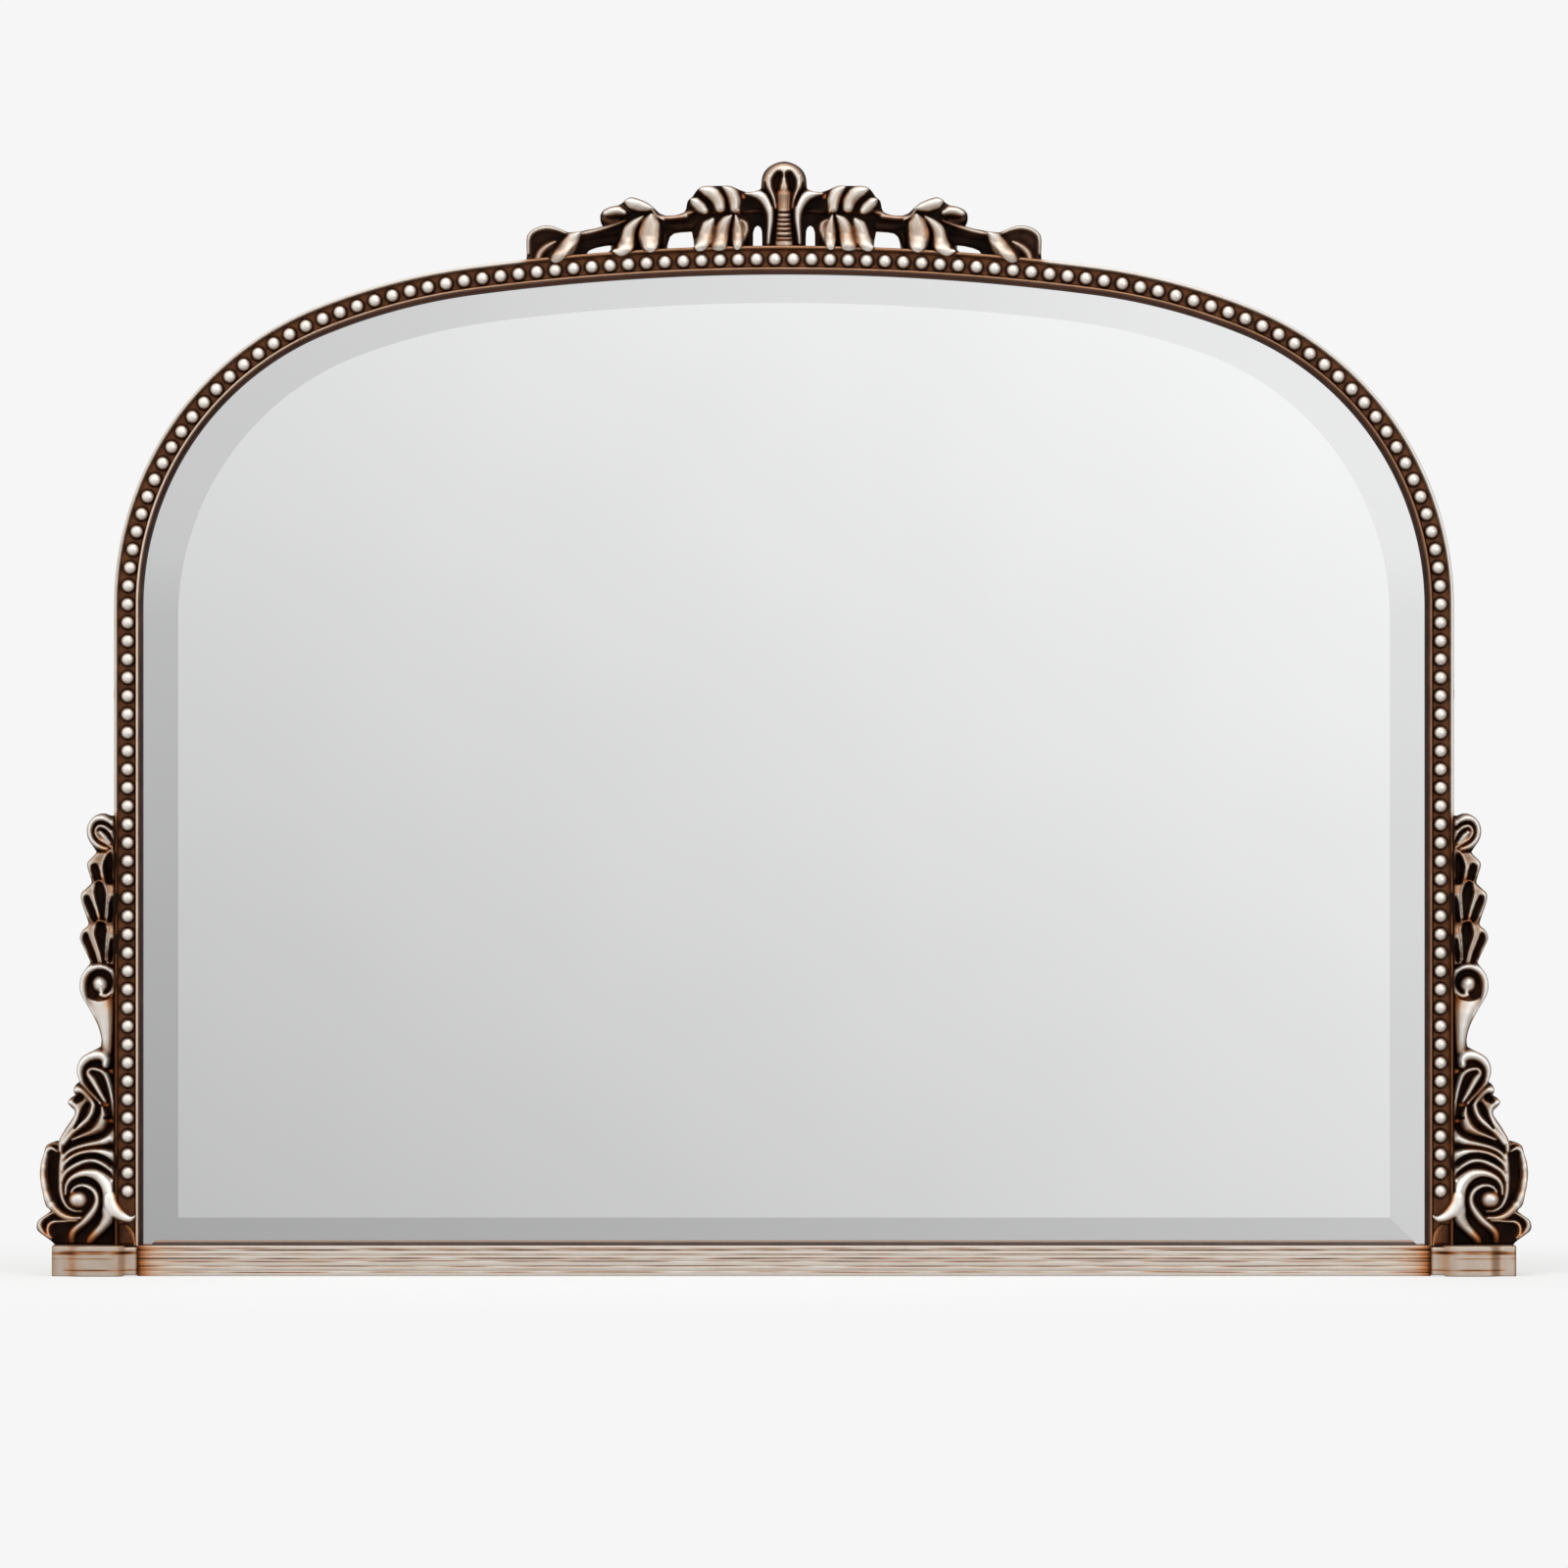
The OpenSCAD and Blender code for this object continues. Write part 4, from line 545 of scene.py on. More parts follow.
def carve_leaf(f):
    """Upright acanthus leaf: low lobe, small leaf, two veins, top hook and hairpin."""
    f.raise_inside([(38, 141), (33, 149), (27, 149), (22, 143), (20.5, 135), (25, 126), (34, 117.5), (43, 107),
                    (44.5, 112), (36, 127), (34, 135)], 8.4, 2.5)
    f.add([(1, 119), (1.3, 115.5), (4, 112.3), (8.5, 109.8), (14, 108.2), (20, 107.1), (26, 105.8), (32, 104),
           (37, 101.7), (41, 98.5), (43.5, 94.5)], [0.9, 2.2, 3, 2.9, 2.3, 1.9, 1.6, 1.5, 1.5, 1.6, 1.6], 10.5, 2, 0.45)
    f.add([(11.5, 137.5), (10.6, 131.5), (11.5, 125), (14.5, 120), (20, 116.6), (28, 113.6), (36, 110.6)],
          [0.9, 2.4, 4, 4, 2.6, 1.6, 1.1], 9.5, 1.4, 0.45)
    f.cut([(5.5, 128.4), (9, 128.2)], [0.8, 0.5], 5, 0.8)
    f.add([(33.5, 151), (29, 151.3), (25, 148.5), (21.5, 144.7), (18.6, 140), (19, 136), (20.5, 131.5), (24, 126.5),
           (29, 122.2), (34.5, 117.8), (39, 112.8), (43, 107.5)],
          [1.8, 2.4, 2.5, 2.1, 1.8, 1.7, 1.7, 1.7, 1.7, 1.7, 1.7, 1.6], 11, 1.7)
    f.add([(38.3, 141.3), (35, 140), (32, 137), (31, 133), (32, 128.5), (35, 123), (39, 117.5), (42.8, 112),
           (45, 106.5), (45.3, 101)], [1.9, 2.3, 2.6, 3, 3.1, 3, 2.9, 2.7, 2.2, 1.6], 10, 1.3, 0.45)
    f.cut([(29.4, 145), (32, 143)], [2, 1.7], 6, 0.6)
    f.cut([(23.6, 140), (25, 136), (27.2, 131), (30, 126), (33.5, 120)], [0.8, 1.6, 1.6, 1, 0.5], 5, 0.7)
    f.add([(8.5, 172), (8.3, 176.3), (12, 179.2), (17.5, 179.5), (23, 177.8), (27.3, 174), (29.7, 169), (30, 163.5),
           (28.5, 158.5), (25, 153.8), (21, 149.3), (16.5, 144.5), (12.5, 140)],
          [2.7, 3.4, 3.6, 3.4, 3.2, 3, 2.8, 2.6, 2.2, 1.8, 1.5, 1.3, 1], 11.5, 1.1, 0.45)
    f.add([(8.8, 141.8), (14, 150), (19, 158.5), (22.8, 164.7), (20.5, 168.2), (14.5, 167.6), (9.3, 164.5),
           (6.3, 158.5), (4, 150), (2.2, 141), (0.8, 131)], [1.2, 2, 2.4, 1.8, 1.4, 1.4, 1.9, 1.9, 1.7, 1.5, 1.2],
          9.5, 1.5)


def carve_volute(f):
    """Smooth tapering shaft, the band round the eye, and the eye."""
    f.add([(7, 184), (7, 192), (7.8, 203), (10, 214), (13.5, 223)], [5.2, 5.2, 6.6, 9.4, 12.4], [8, 10, 11, 11, 10],
          0.14, 0.35)
    eye = np.hypot(f.X - 13.9, f.Z - 239.2)
    f.H = np.where(eye < 15.2, np.minimum(f.H, 3.6), f.H)
    f.add([(12.8, 186), (14.5, 199), (17, 208), (20.5, 215.5), (24.5, 222.5), (27.3, 230), (28, 238), (26, 245),
           (21, 250), (14.5, 252), (8, 251), (2.8, 247.5), (0, 242), (0.2, 236.5), (3.3, 231.2), (8, 228.2),
           (12.3, 229.2)], [1, 1.1, 1.3, 1.8, 2.7, 3.5, 3.9, 3.7, 3.1, 2.6, 2.3, 2.1, 2, 1.9, 1.9, 1.9, 2],
          [9, 11, 11.5, 12, 12.5, 12.5, 12.5, 12.5, 12.5, 12, 12, 12, 12, 12, 12, 12, 12.5], 1, 0.45)
    f.add([(13.6, 238.6), (12.9, 237.4)], [6, 6.6], 13, 0.2, 0.5)
    f.add([(12.5, 236), (11.2, 229.2)], [4.2, 1.8], [12.5, 12], 0.4, 0.5)


def carve_husks(f):
    """Three husks of hollow lobes with raised rims, one growing out of another, and the bud."""
    lobes = [
        # lower husk
        ([(15, 289.6), (17.9, 284), (18.3, 278), (16.3, 271.3), (13.7, 263.3), (11.4, 255)], 9.5),
        ([(15, 289.6), (9.3, 288.6), (6.1, 284.3), (7, 278), (7.7, 270), (8.6, 257)], 9.5),
        ([(18.3, 276), (21.5, 280.5), (25.2, 281.2), (28, 277.5), (27.9, 272), (24.6, 265.3), (20.8, 256)], 9),
        ([(7, 278), (3.4, 276.2), (0.2, 278.2), (-1.7, 274.7), (-0.6, 268), (1.4, 258)], 9),
        # middle husk
        ([(14.3, 322.6), (17.9, 319.3), (18.9, 314.3), (17.9, 308), (15.7, 300), (13, 291)], 9.5),
        ([(14.3, 322.6), (10.7, 320.7), (7.9, 315.7), (7.1, 310.7), (7.5, 303), (8.8, 291)], 9.5),
        ([(18.9, 308.8), (21.5, 311.4), (24.3, 311.8), (26.8, 309.6), (27.1, 305.5), (24.6, 298.6), (20.6, 290)], 9),
        ([(7.1, 309), (4.6, 310.7), (2.1, 311.7), (-1, 310.8), (-1.4, 307), (-0.4, 299.3), (1, 287)], 9),
        # upper husk
        ([(0.6, 344.6), (3.4, 346.9), (7.1, 344.6), (10, 339.3), (11.4, 333.6), (10.7, 327.1), (8.2, 318)], 9.5),
        ([(0.6, 344.6), (-0.2, 340), (0, 334.3), (1.1, 327), (1.8, 315)], 9),
        ([(10.4, 336.2), (14, 337.5), (18.5, 336.9), (21.4, 334.5), (21.4, 331), (19.8, 325.6), (17, 319)], 9)]
    hollows = [
        ([(12, 285.5), (12.2, 279), (11.6, 271), (10.4, 263), (9.8, 256)], [3, 4.4, 4.1, 3.1, 1.8]),
        ([(25, 277.5), (23.8, 271), (20, 262.5), (17, 256)], [2.1, 3.1, 2.7, 1.7]),
        ([(1.5, 275.5), (1.8, 270), (3.2, 263), (4.4, 257)], [2, 2.9, 2.5, 1.6]),
        ([(13.2, 318), (13, 311), (12, 303), (11, 295), (10.6, 290)], [2.9, 4.2, 3.7, 2.9, 1.8]),
        ([(23.8, 308), (22.6, 303), (19.6, 296), (17, 290.5)], [2, 3, 2.7, 1.7]),
        ([(1.6, 308), (1.8, 303), (3, 296), (4.6, 290)], [1.9, 2.9, 2.5, 1.6]),
        ([(5.4, 342), (5.6, 335), (5.2, 328), (4.6, 322)], [2.9, 4.3, 4, 2.6]),
        ([(17.4, 333.5), (16.6, 329), (14.6, 323)], [2.5, 3.2, 2.2])]
    f.raise_inside([(-4, 252), (20, 254), (30, 264), (34, 300), (32, 330), (24, 346), (-4, 347)], 8.6, 2.5)
    for points, width in hollows:
        f.cut(points, width, 5.4, 0.3)
    for points, height in lobes:
        n = len(points)
        f.add(points, np.interp(np.arange(n), (0, 1, n - 2, n - 1), (1.3, 1.7, 1.5, 0.9)), height, 1, 0.45)
    f.add([(2.9, 368.6), (6.4, 371.6), (11.4, 373.3), (17.1, 372.2), (20.7, 367.9), (21.6, 362.1), (20, 356.4),
           (16.4, 352.1), (11.4, 349.3), (7.1, 348.2)], [2, 2.6, 2.9, 3, 3, 2.9, 2.8, 2.7, 2.4, 1.9], 10.5, 1, 0.5)
    f.add([(0.7, 356.4), (5, 362.9), (9.3, 366.1), (13.6, 366.8), (16.1, 364.3), (16.4, 360.7), (13.6, 356.4),
           (9.3, 353.6), (5, 350.7), (2.9, 348.9)], [1.5, 1.8, 1.8, 1.8, 1.7, 1.7, 1.7, 1.7, 1.5, 1.1], 9.5, 1.2)
    f.add([(13, 361.6), (9.6, 358), (4.5, 352.8)], [2.4, 3.2, 1.6], 9.4, 0.8, 0.5)


# The tip of the great leaf, which curls out over the moulding
LEAF_TIP = [(4.2, 64), (3.4, 58.5), (0, 53), (-6, 48.4), (-12, 46.4), (-16.5, 48.6)]
LEAF_TIP_HALF = [4.6, 5.4, 5.4, 4, 2.6, 0.5]


def side_copper_and_glints(f):
    """Where the side ornament shows copper: its bole rubbed through, and painted copper glints."""
    f.tint_copper_and_glints([(23.5, 24), (22.6, 29), (18, 35)], [1.6, 2.2, 1.2], 0.8)
    f.tint_copper_and_glints([(38.4, 24), (38, 31), (34, 38)], [2, 1.8, 1], 0.7)
    f.tint_copper_and_glints([(54, 30), (55.6, 36), (53.5, 41)], [2.6, 3, 2], 0.7)
    f.tint_copper_and_glints([(0.5, 66), (-2.2, 59), (-7.5, 53.4)], [1.2, 1.8, 1.2], 0.9)
    f.tint_copper_and_glints([(3.8, 187), (3.4, 200), (2.8, 212), (4.4, 223)], [1.4, 1.6, 1.8, 2.4], 0.95, 2.4)
    f.tint_copper_and_glints([(22.6, 244), (22.8, 236), (19.6, 229)], [1.4, 1.8, 1.4], 0.75)
    f.tint_copper_and_glints([(36.8, 65), (34.6, 66.8)], [1, 0.8], 0.9)
    f.tint_copper_and_glints([(14, 226), (8, 226.5), (3, 229)], [1.6, 1.8, 1.4], 0.8)
    for x, z in ((4, 282), (13, 291), (4, 315), (11, 324), (4, 350)):
        f.tint_copper_and_glints([(x, z - 1), (x + 1.5, z + 4)], [1, 0.6], 0.6, 2.4)
    f.tint_copper_and_glints([(5, 343), (10, 350), (13, 356)], [1.4, 1.8, 1], 0.7)
    f.tint_copper_and_glints([(24, 88), (34, 84.5), (42, 77)], [1.2, 1.6, 1.2], 0.6)
    f.tint_copper_and_glints([(12, 104), (24, 103), (36, 98)], [1.2, 1.4, 1.2], 0.6)
    f.tint_copper_and_glints([(60.6, 93), (61.4, 84), (60, 72), (57, 64)], [1.8, 2.4, 2.2, 1.2], 0.45)
    f.tint_copper_and_glints([(50, 54), (42, 49.4), (32, 48)], [1.6, 1.8, 1.2], 0.4)
    # three painted glints: a copper tint with a spot painted brighter
    for x, z in ((3.9, 166), (8.6, 139), (3.9, 125.6)):
        f.tint_copper_and_glints([(x - 1.4, z), (x + 1.4, z + 0.5)], [1.3, 1.3], 0.95, 0.8)
        f.paint_light_and_shade([(x - 1, z), (x + 1, z + 0.4)], [1, 1], 0.35)
    f.tint_copper_and_glints([(20, 125), (28, 118), (36, 114)], [1.4, 1.6, 1], 0.6)


def side_painted_light_and_shade(f):
    """Where the side ornament is painted brighter as highlight, or darker as shade in hollows, beside the stile and
    where one husk grows out of another, than its heights alone make it.
    """
    f.paint_light_and_shade([(7.4, 182), (7.4, 192), (8.4, 203), (10, 211), (12.5, 218)], [2.4, 2.8, 4, 5.4, 6.4], 0.2, 0.7)
    # painted shade beside the stile
    f.paint_light_and_shade([(0.6, 183), (0.4, 195), (0, 208), (-0.4, 222)], [2, 1.8, 1.4, 1], -0.6, 0.9)
    f.paint_light_and_shade([(8, 172), (9, 178), (17, 180), (27, 173)], [2.2, 2.6, 1.6, 1.2], 0.16)
    f.paint_light_and_shade([(20, 162), (15, 152), (11, 144)], [1.8, 1.6, 1.2], 0.15)
    f.paint_light_and_shade([(28, 156), (22, 149), (16, 142)], [2.2, 2, 1.6], -0.3)
    f.paint_light_and_shade([(4, 54), (3, 62), (5, 71), (12, 79)], [4.4, 4.6, 4, 2], 0.16)
    f.paint_light_and_shade([(30, 110), (22, 114), (14, 117)], [1.6, 1.8, 1.6], -0.12)
    f.paint_light_and_shade([(2, 115), (5, 111.6), (10, 109.2)], [1.8, 2.4, 1.6], 0.14)
    f.paint_light_and_shade([(2, 96), (6, 98.6), (12, 100.2)], [1.8, 2.2, 1.4], 0.12)
    f.paint_light_and_shade([(7, 165), (4.5, 156), (2.6, 146)], [1.2, 1.6, 1.2], 0.12)
    f.paint_light_and_shade([(13, 361), (9, 357), (6, 354)], [2, 2.4, 1.2], 0.2)
    # painted shade where one husk grows out of the next
    for z in (290, 323):
        f.paint_light_and_shade([(24, z), (12, z - 1), (0, z - 2)], [2.2, 2.4, 2], -0.3)


def side_relief(step, over_frame):
    """Relief of the whole side ornament. Returns the field, the distance inside its outline
    and the height under it: the ground, or the moulding where a leaf laps over that."""
    f = Relief((-20, 68), (22.5, 379.5), step)
    inside = f.inside(np.vstack([smooth_line(SIDE_OUTLINE, 3), [(SIDE_EDGE, SIDE_FOOT)]]))
    f.H[:] = 3.0
    carve_foot_and_shell(f)
    f.swell = 1.28
    carve_scroll(f)
    carve_leaf(f)
    f.swell = 1.0
    carve_volute(f)
    carve_husks(f)
    side_copper_and_glints(f)
    side_painted_light_and_shade(f)
    f.round_off(inside, 1.7)
    tip = f.stroke(LEAF_TIP, LEAF_TIP_HALF, 1.0, 0.05, crown=0.7)
    # the tone is darker at the foot, over the first 13 mm
    foot = np.clip(1 - (f.Z - SIDE_FOOT) / 13, 0, 1) ** 1.5
    # the tip of the great leaf is painted as a highlight along its spine
    f.tone = np.clip(np.maximum(patina_and_painted_light(f.H, step), tip) + f.rub - 0.4 * foot, 0.02, 1)
    lap = f.inside_any(SIDE_LAPS)
    # the tip's stroke is 0.3 high along its rim
    body = np.maximum(lap, np.where(tip > 0, 0.4 + 3 * (tip - 0.3), -9))
    over = f.X < SIDE_EDGE
    # a leaf rises to clear the moulding's edge before it laps over it, less so beyond the lap's own height
    lift = over_frame + 0.5 + 0.8 * np.clip(lap, 0, 2)
    ends = [(min(z), max(z)) for z in ([p[1] for p in outline] for outline in SIDE_LAPS)]
    beyond = np.min([np.maximum(low - f.z, f.z - high) for low, high in ends], axis=0)
    beside = np.clip(1 - np.maximum(beyond, 0) / 4, 0, 1)[:, None]
    f.lap_over(over, lap, lift, np.clip(1 - (f.X - SIDE_EDGE) / 3.5, 0, 1) ** 2 * beside)
    f.H = np.where(tip > 0, np.maximum(f.H, over_frame + 0.6 + 3.8 * (tip - 0.3)), f.H)
    inside = np.where(over, np.maximum(body, np.minimum(inside, -0.01)), np.maximum(inside, body))
    f.H = soften(f.H, 0.3 / step)
    return f, inside, np.where(over, over_frame, 0.0)


# The crest, drawn as distance from the centre line and height above the crown's outer edge
CREST_OUTLINE = [
    (0, 69.7), (5, 68.8), (10.6, 66.3), (15, 62.5), (17.5, 58), (18.4, 53), (18.8, 47.5), (21.3, 45.9), (25, 44.7),
    (30, 44.4), (33.8, 45), (36.9, 46.6), (40, 48.1), (43.8, 49.4), (50, 49.7), (60, 49.5), (65.6, 49.3), (69.4, 47.8),
    (72.5, 44.4), (75, 40.6), (78.1, 38.1), (79.4, 35), (80, 31.3), (81.3, 28.4), (85, 26.6), (90, 25.4), (96.8, 25.3),
    (100, 26.1), (102.1, 27.4), (105.3, 30.5), (108.9, 33.7), (112.6, 36.1), (117.9, 38.4), (123.2, 40), (126.3, 40),
    (129.5, 38.4), (132.1, 35.8), (135.8, 33.7), (140, 32.9), (144.2, 31.6), (147.9, 29.5), (150, 26.3), (150.3, 22.1),
    (149.5, 18.4), (148.6, 16.6), (154.2, 14.8), (162, 13.4), (167.4, 12.1), (173.7, 11.6), (176.3, 11.6), (180, 12.9),
    (184.2, 14.7), (188.4, 16.3), (192.6, 17), (197.4, 16.8), (202, 15.5), (206.3, 13.2), (209.5, 9.7), (210.5, 5.5),
    (210.5, 0), (210.3, -5), (210.6, -12)]
CREST_HOLES = [
    [(17.8, -2), (25.3, -2), (25.3, 8), (24.9, 13), (23.8, 16), (21.5, 17.5), (19.2, 16), (18.1, 12)],
    [(73.1, -3.6), (95.8, -3.6), (94.7, 4.2), (93.2, 8.4), (90, 11), (85, 11.9), (75.6, 12.5), (74.4, 8)],
    [(139.5, 0), (141.6, 1.3), (146.8, 0.8), (154.2, -0.8), (159.5, -2.9), (161.6, -5.5), (162.1, -7.5), (154, -7),
     (146.3, -6.5), (143.2, -4.5)]]


def carve_palmette(f):
    """Domed head with two dark flutes, and the ringed column under it."""
    turn = np.linspace(-0.25, math.pi + 0.25, 40)
    f.raise_inside([(18.3 * math.cos(t), 51.1 + 18.3 * math.sin(t)) for t in turn] + [(-12, 40), (12, 40)], 11, 9)
    for s in (1, -1):
        f.cut([(2.2 * s, 57), (4.2 * s, 58), (6.2 * s, 53), (6.4 * s, 47), (4.6 * s, 42)], [1.2, 2.6, 3.4, 2.6, 0.8],
              7, 0.7)
        f.add([(12.8 * s, 57), (12.2 * s, 50), (9.8 * s, 43), (8.0 * s, 38), (6.8 * s, 31)], [1.2, 1.5, 1.5, 1.3, 1],
              10.4, 1.2, 0.3)
        f.cut([(15.6 * s, 52), (14.6 * s, 46), (11.8 * s, 40), (9.6 * s, 33)], [0.4, 1, 1, 0.5], 4, 0.8)
    f.add([(0, 60), (0, 52), (0, 46), (0, 40)], [1, 1.2, 1.4, 2.4], 10.8, 1.3, 0.3)
    f.add([(0, 42), (0, 28), (0, 20), (0, 8), (0, 2)], [5.8, 5.3, 5.8, 6.5, 7], 10.5, 0.25, 0.3)
    for x in (-3.0, -1.0, 1.0, 3.0):
        f.cut([(x * 1.05, 41), (x, 36), (x, 30)], [0.5, 0.55, 0.4], 0.7, 0.6)
    for z in (27.5, 23.3, 19.8, 16, 12.3, 8):
        f.cut([(-5.8, z + 0.2), (0, z - 0.3), (5.8, z + 0.2)], [0.5, 0.6, 0.5], 3.2, 0.8)
    f.cut([(-6, 4.6), (6, 4.6)], 0.5, 2.4, 0.8)


def carve_crest_scroll(f):
    """White C-scroll beside the palmette, its hollow and the stem behind it."""
    f.add([(33, 28), (28, 28.4), (21, 29.2), (16, 27.4)], [1.7, 1.9, 2, 1.4], 3.6, 1)
    f.add([(31, 43), (28, 43.4), (23, 42.8), (18, 40.6), (14.4, 36.4), (12, 31), (11.2, 25), (11.4, 18), (12.2, 10),
           (12.8, 2)], [1.4, 2.3, 3.5, 4.2, 4.2, 3.7, 3, 2.4, 1.9, 1.4], [9, 10, 11, 12, 12, 12, 11.5, 11, 10, 9],
          0.6, 0.35)
    f.add([(28.4, 24), (28.8, 14), (28.4, 0)], [1, 1.4, 1.2], 3.2, 1.8)


def carve_crest_leaves(f):
    """Leaves of the crest's inner cluster, above and below the stem."""
    f.add([(33, 29), (45, 28.4), (58, 27.5), (68, 26.6)], [1.6, 1.6, 1.6, 1.2], 3.4, 1.1)
    f.add([(70, 29.5), (76, 27.6), (82, 25.2)], [1.4, 2.2, 2.2], [4, 6.5, 8], 1, 0.5)
    leaves = [
        ([(40.2, 31), (40.6, 37), (42.7, 42.5), (46, 46.3), (49.5, 48.2)], [3.6, 4.5, 4.2, 2.8, 1], 11.5),
        ([(67.5, 46.2), (62, 44.7), (57, 41.4), (53.4, 36.8), (52.2, 31.6)], [1.6, 4, 4.6, 4.6, 3.8], 12),
        ([(75.2, 37.8), (71.5, 35.2), (68, 31.8), (65, 29)], [1.2, 3.6, 4, 2.8], 11.5),
        ([(58.3, 21.5), (61.8, 16), (63.3, 10), (65, 4), (68, -1.2), (72.6, -1.4)], [1.6, 4.6, 5.2, 5.2, 3.8, 0.9], 12),
        ([(42.8, 25), (47.3, 20.5), (50.4, 14), (51.6, 7), (53, -3)], [0.8, 3.6, 5, 5.2, 5.2], 12),
        ([(39.6, 25.3), (38.3, 19), (37.6, 12), (37.6, 5), (38.2, -3)], [0.8, 3, 4.5, 4.2, 2.4], 11),
        ([(35.2, 21.8), (31.8, 18), (31.2, 13), (32.6, 5)], [0.8, 2.4, 2.4, 1], 9)]
    for points, half, height in leaves:
        f.add(points, [1.2 * w for w in half], height, 0.22, 0.3)


def carve_frond_and_bud(f):
    """Leaves of the outer cluster, the stem each side of it and the bud."""
    f.add([(80, 24.6), (88, 23.8), (97, 23.2), (104, 24)], [2.3, 2.3, 2.2, 1.8], 8, 0.7, 0.5)
    f.add([(76, 17), (88, 16.8), (98, 17.4), (104, 19)], [3.5, 3.6, 3.4, 3], 3.2, 0.7)
    f.add([(97, 10), (98, 4), (97.5, -4)], [2.2, 2.2, 2.2], 3.4, 1)
    f.add([(108.4, 24.5), (109.2, 17), (110.4, 10), (110, 3), (107.8, -3.6)], [2.4, 7.8, 8.8, 7.8, 4.4], 12, 0.14, 0.3)
    f.add([(115, 24.4), (120.8, 19.6), (126, 13.5), (127.8, 6), (129.4, -0.5), (133.2, -5), (139.4, -4.4)],
          [0.8, 3.2, 5.1, 5.7, 6.2, 3.8, 0.8], 11.5, 0.22, 0.3)
    f.add([(106.4, 30.8), (112, 32), (118, 33.6), (124, 35.1), (128.6, 37)], [0.9, 3.8, 5.4, 5.2, 2.2], 11.5, 0.22, 0.3)
    f.add([(107.4, 29), (104.7, 25.3), (102, 23.2), (97.9, 21.3)], [1.1, 1.1, 1, 0.8], 9.5, 1.2)
    f.add([(136, 21), (142, 20.6), (146.6, 22.6)], [4, 5.2, 3.4], 5.2, 0.5, 0.6)
    f.add([(130.6, 27.6), (135.4, 29), (141, 28.6), (145.6, 26.8)], [2.4, 3.8, 4, 2.6], 10.5, 0.3, 0.35)
    f.add([(129.5, 21), (136, 18.4), (142, 16.4)], [1, 1.7, 1.6], 7, 0.9)
    f.add([(138, 11.4), (146, 10.4), (156, 8.2), (168, 6.4)], [2.6, 2.6, 2.6, 2.4], 3, 0.9)
    f.add([(138, 17.6), (144, 15.6), (150, 13.8), (158, 11.6), (167, 9.8)], [1.4, 2, 2.2, 2.2, 2], 8, 0.7, 0.5)


def carve_crest_end(f):
    """Last leaf, which crosses the stem, and the open bud behind it."""
    f.raise_inside([(170, -20), (171, 3), (178, 9), (188.4, 14.6), (197, 15), (204, 12.5), (209.4, 6), (209.6, -20)],
                   5, 2)
    f.add([(177.9, 10.2), (183.2, 13.1), (188.4, 14.9), (194.7, 15.5), (201, 14.1), (205.8, 11.3), (208.4, 7.6),
           (209, 3), (208.8, -6)], [1.2, 2.2, 2.8, 3, 3, 2.9, 2.6, 2.2, 1.8], 10, 0.9, 0.5)
    f.add([(187, 3.4), (191, 1.2), (195.6, -2), (199.4, -6.4), (201, -12)], [2, 3.4, 4.2, 4.4, 4.2], 9.5, 0.5, 0.5)
    f.add([(167, 12), (172.5, 5.8), (176.6, -0.5), (180.5, -6.5), (186, -12.5)], [1.8, 5.4, 6.9, 6.9, 4.8], 12,
          0.16, 0.3)


def crest_light_copper_and_glints(f):
    """Where the crest is painted brighter as highlight, and shows copper: its bole and painted copper glints."""
    f.paint_light_and_shade([(8.8, 60), (12, 52)], [1.6, 1.2], 0.1)
    f.paint_light_and_shade([(24, 43), (16, 38), (12.4, 30)], [1.6, 2.2, 1.8], 0.14)
    for points in ([(50, 27.6), (66, 26.8)], [(84, 24.4), (96, 23.6)]):
        f.tint_copper_and_glints(points, [1.2, 1.2], 0.35)
    for points in ([(46, 12), (45, 2)], [(57.4, 14), (58.8, 4)], [(117.6, 20), (119, 8)], [(102.6, 14), (101.8, 4)],
                   [(171, -2), (176, -8)]):
        f.tint_copper_and_glints(points, [0.7, 0.7], 0.2, 2)
    for side in (1, -1):
        f.tint_copper_and_glints([(6.8 * side, 40), (7.4 * side, 48)], [0.8, 0.6], 0.8)
        f.tint_copper_and_glints([(2.6 * side, 42), (2.2 * side, 50)], [0.6, 0.5], 0.7)
    # two painted glints: a copper tint with a spot painted brighter
    for x, z in ((33, 41), (37, 28.5)):
        f.tint_copper_and_glints([(x, z - 1), (x + 0.6, z + 1)], [1.1, 1.1], 0.95, 1.5)
        f.paint_light_and_shade([(x, z - 0.6), (x + 0.4, z + 0.6)], [0.9, 0.9], 0.4)


# Leaf tips of the crest that lap over the moulding's outer edge
CREST_LAPS = [
    [(33.4, 14), (34.4, 2), (35, -1.8), (37.4, -3.5), (40.4, -2.8), (41.8, 2), (42.4, 14)],
    [(44, 14), (46.6, 2), (47.2, -2.2), (50, -4), (55, -4.2), (58.4, -2.8), (59.6, 2), (57.4, 14)],
    [(57, 14), (60.4, 2), (63.4, -2.6), (67.6, -4.8), (72.4, -4.2), (74.2, -2.2), (72.4, 2), (69, 14)],
    [(101, 15), (102.6, 3), (104.2, -2.6), (107.8, -5.6), (112, -5.2), (114.6, -2), (115.4, 3), (119.4, 15)],
    [(119, 14), (121.4, 1), (123.6, -4), (128, -7.6), (133.6, -9), (138.8, -7.6), (141, -5), (137, -1), (133.4, 13)],
    [(165, 9), (174.6, -3), (179.4, -10.4), (184, -13.9), (189, -13.6), (192.2, -9), (189, -3), (180, 9)]]


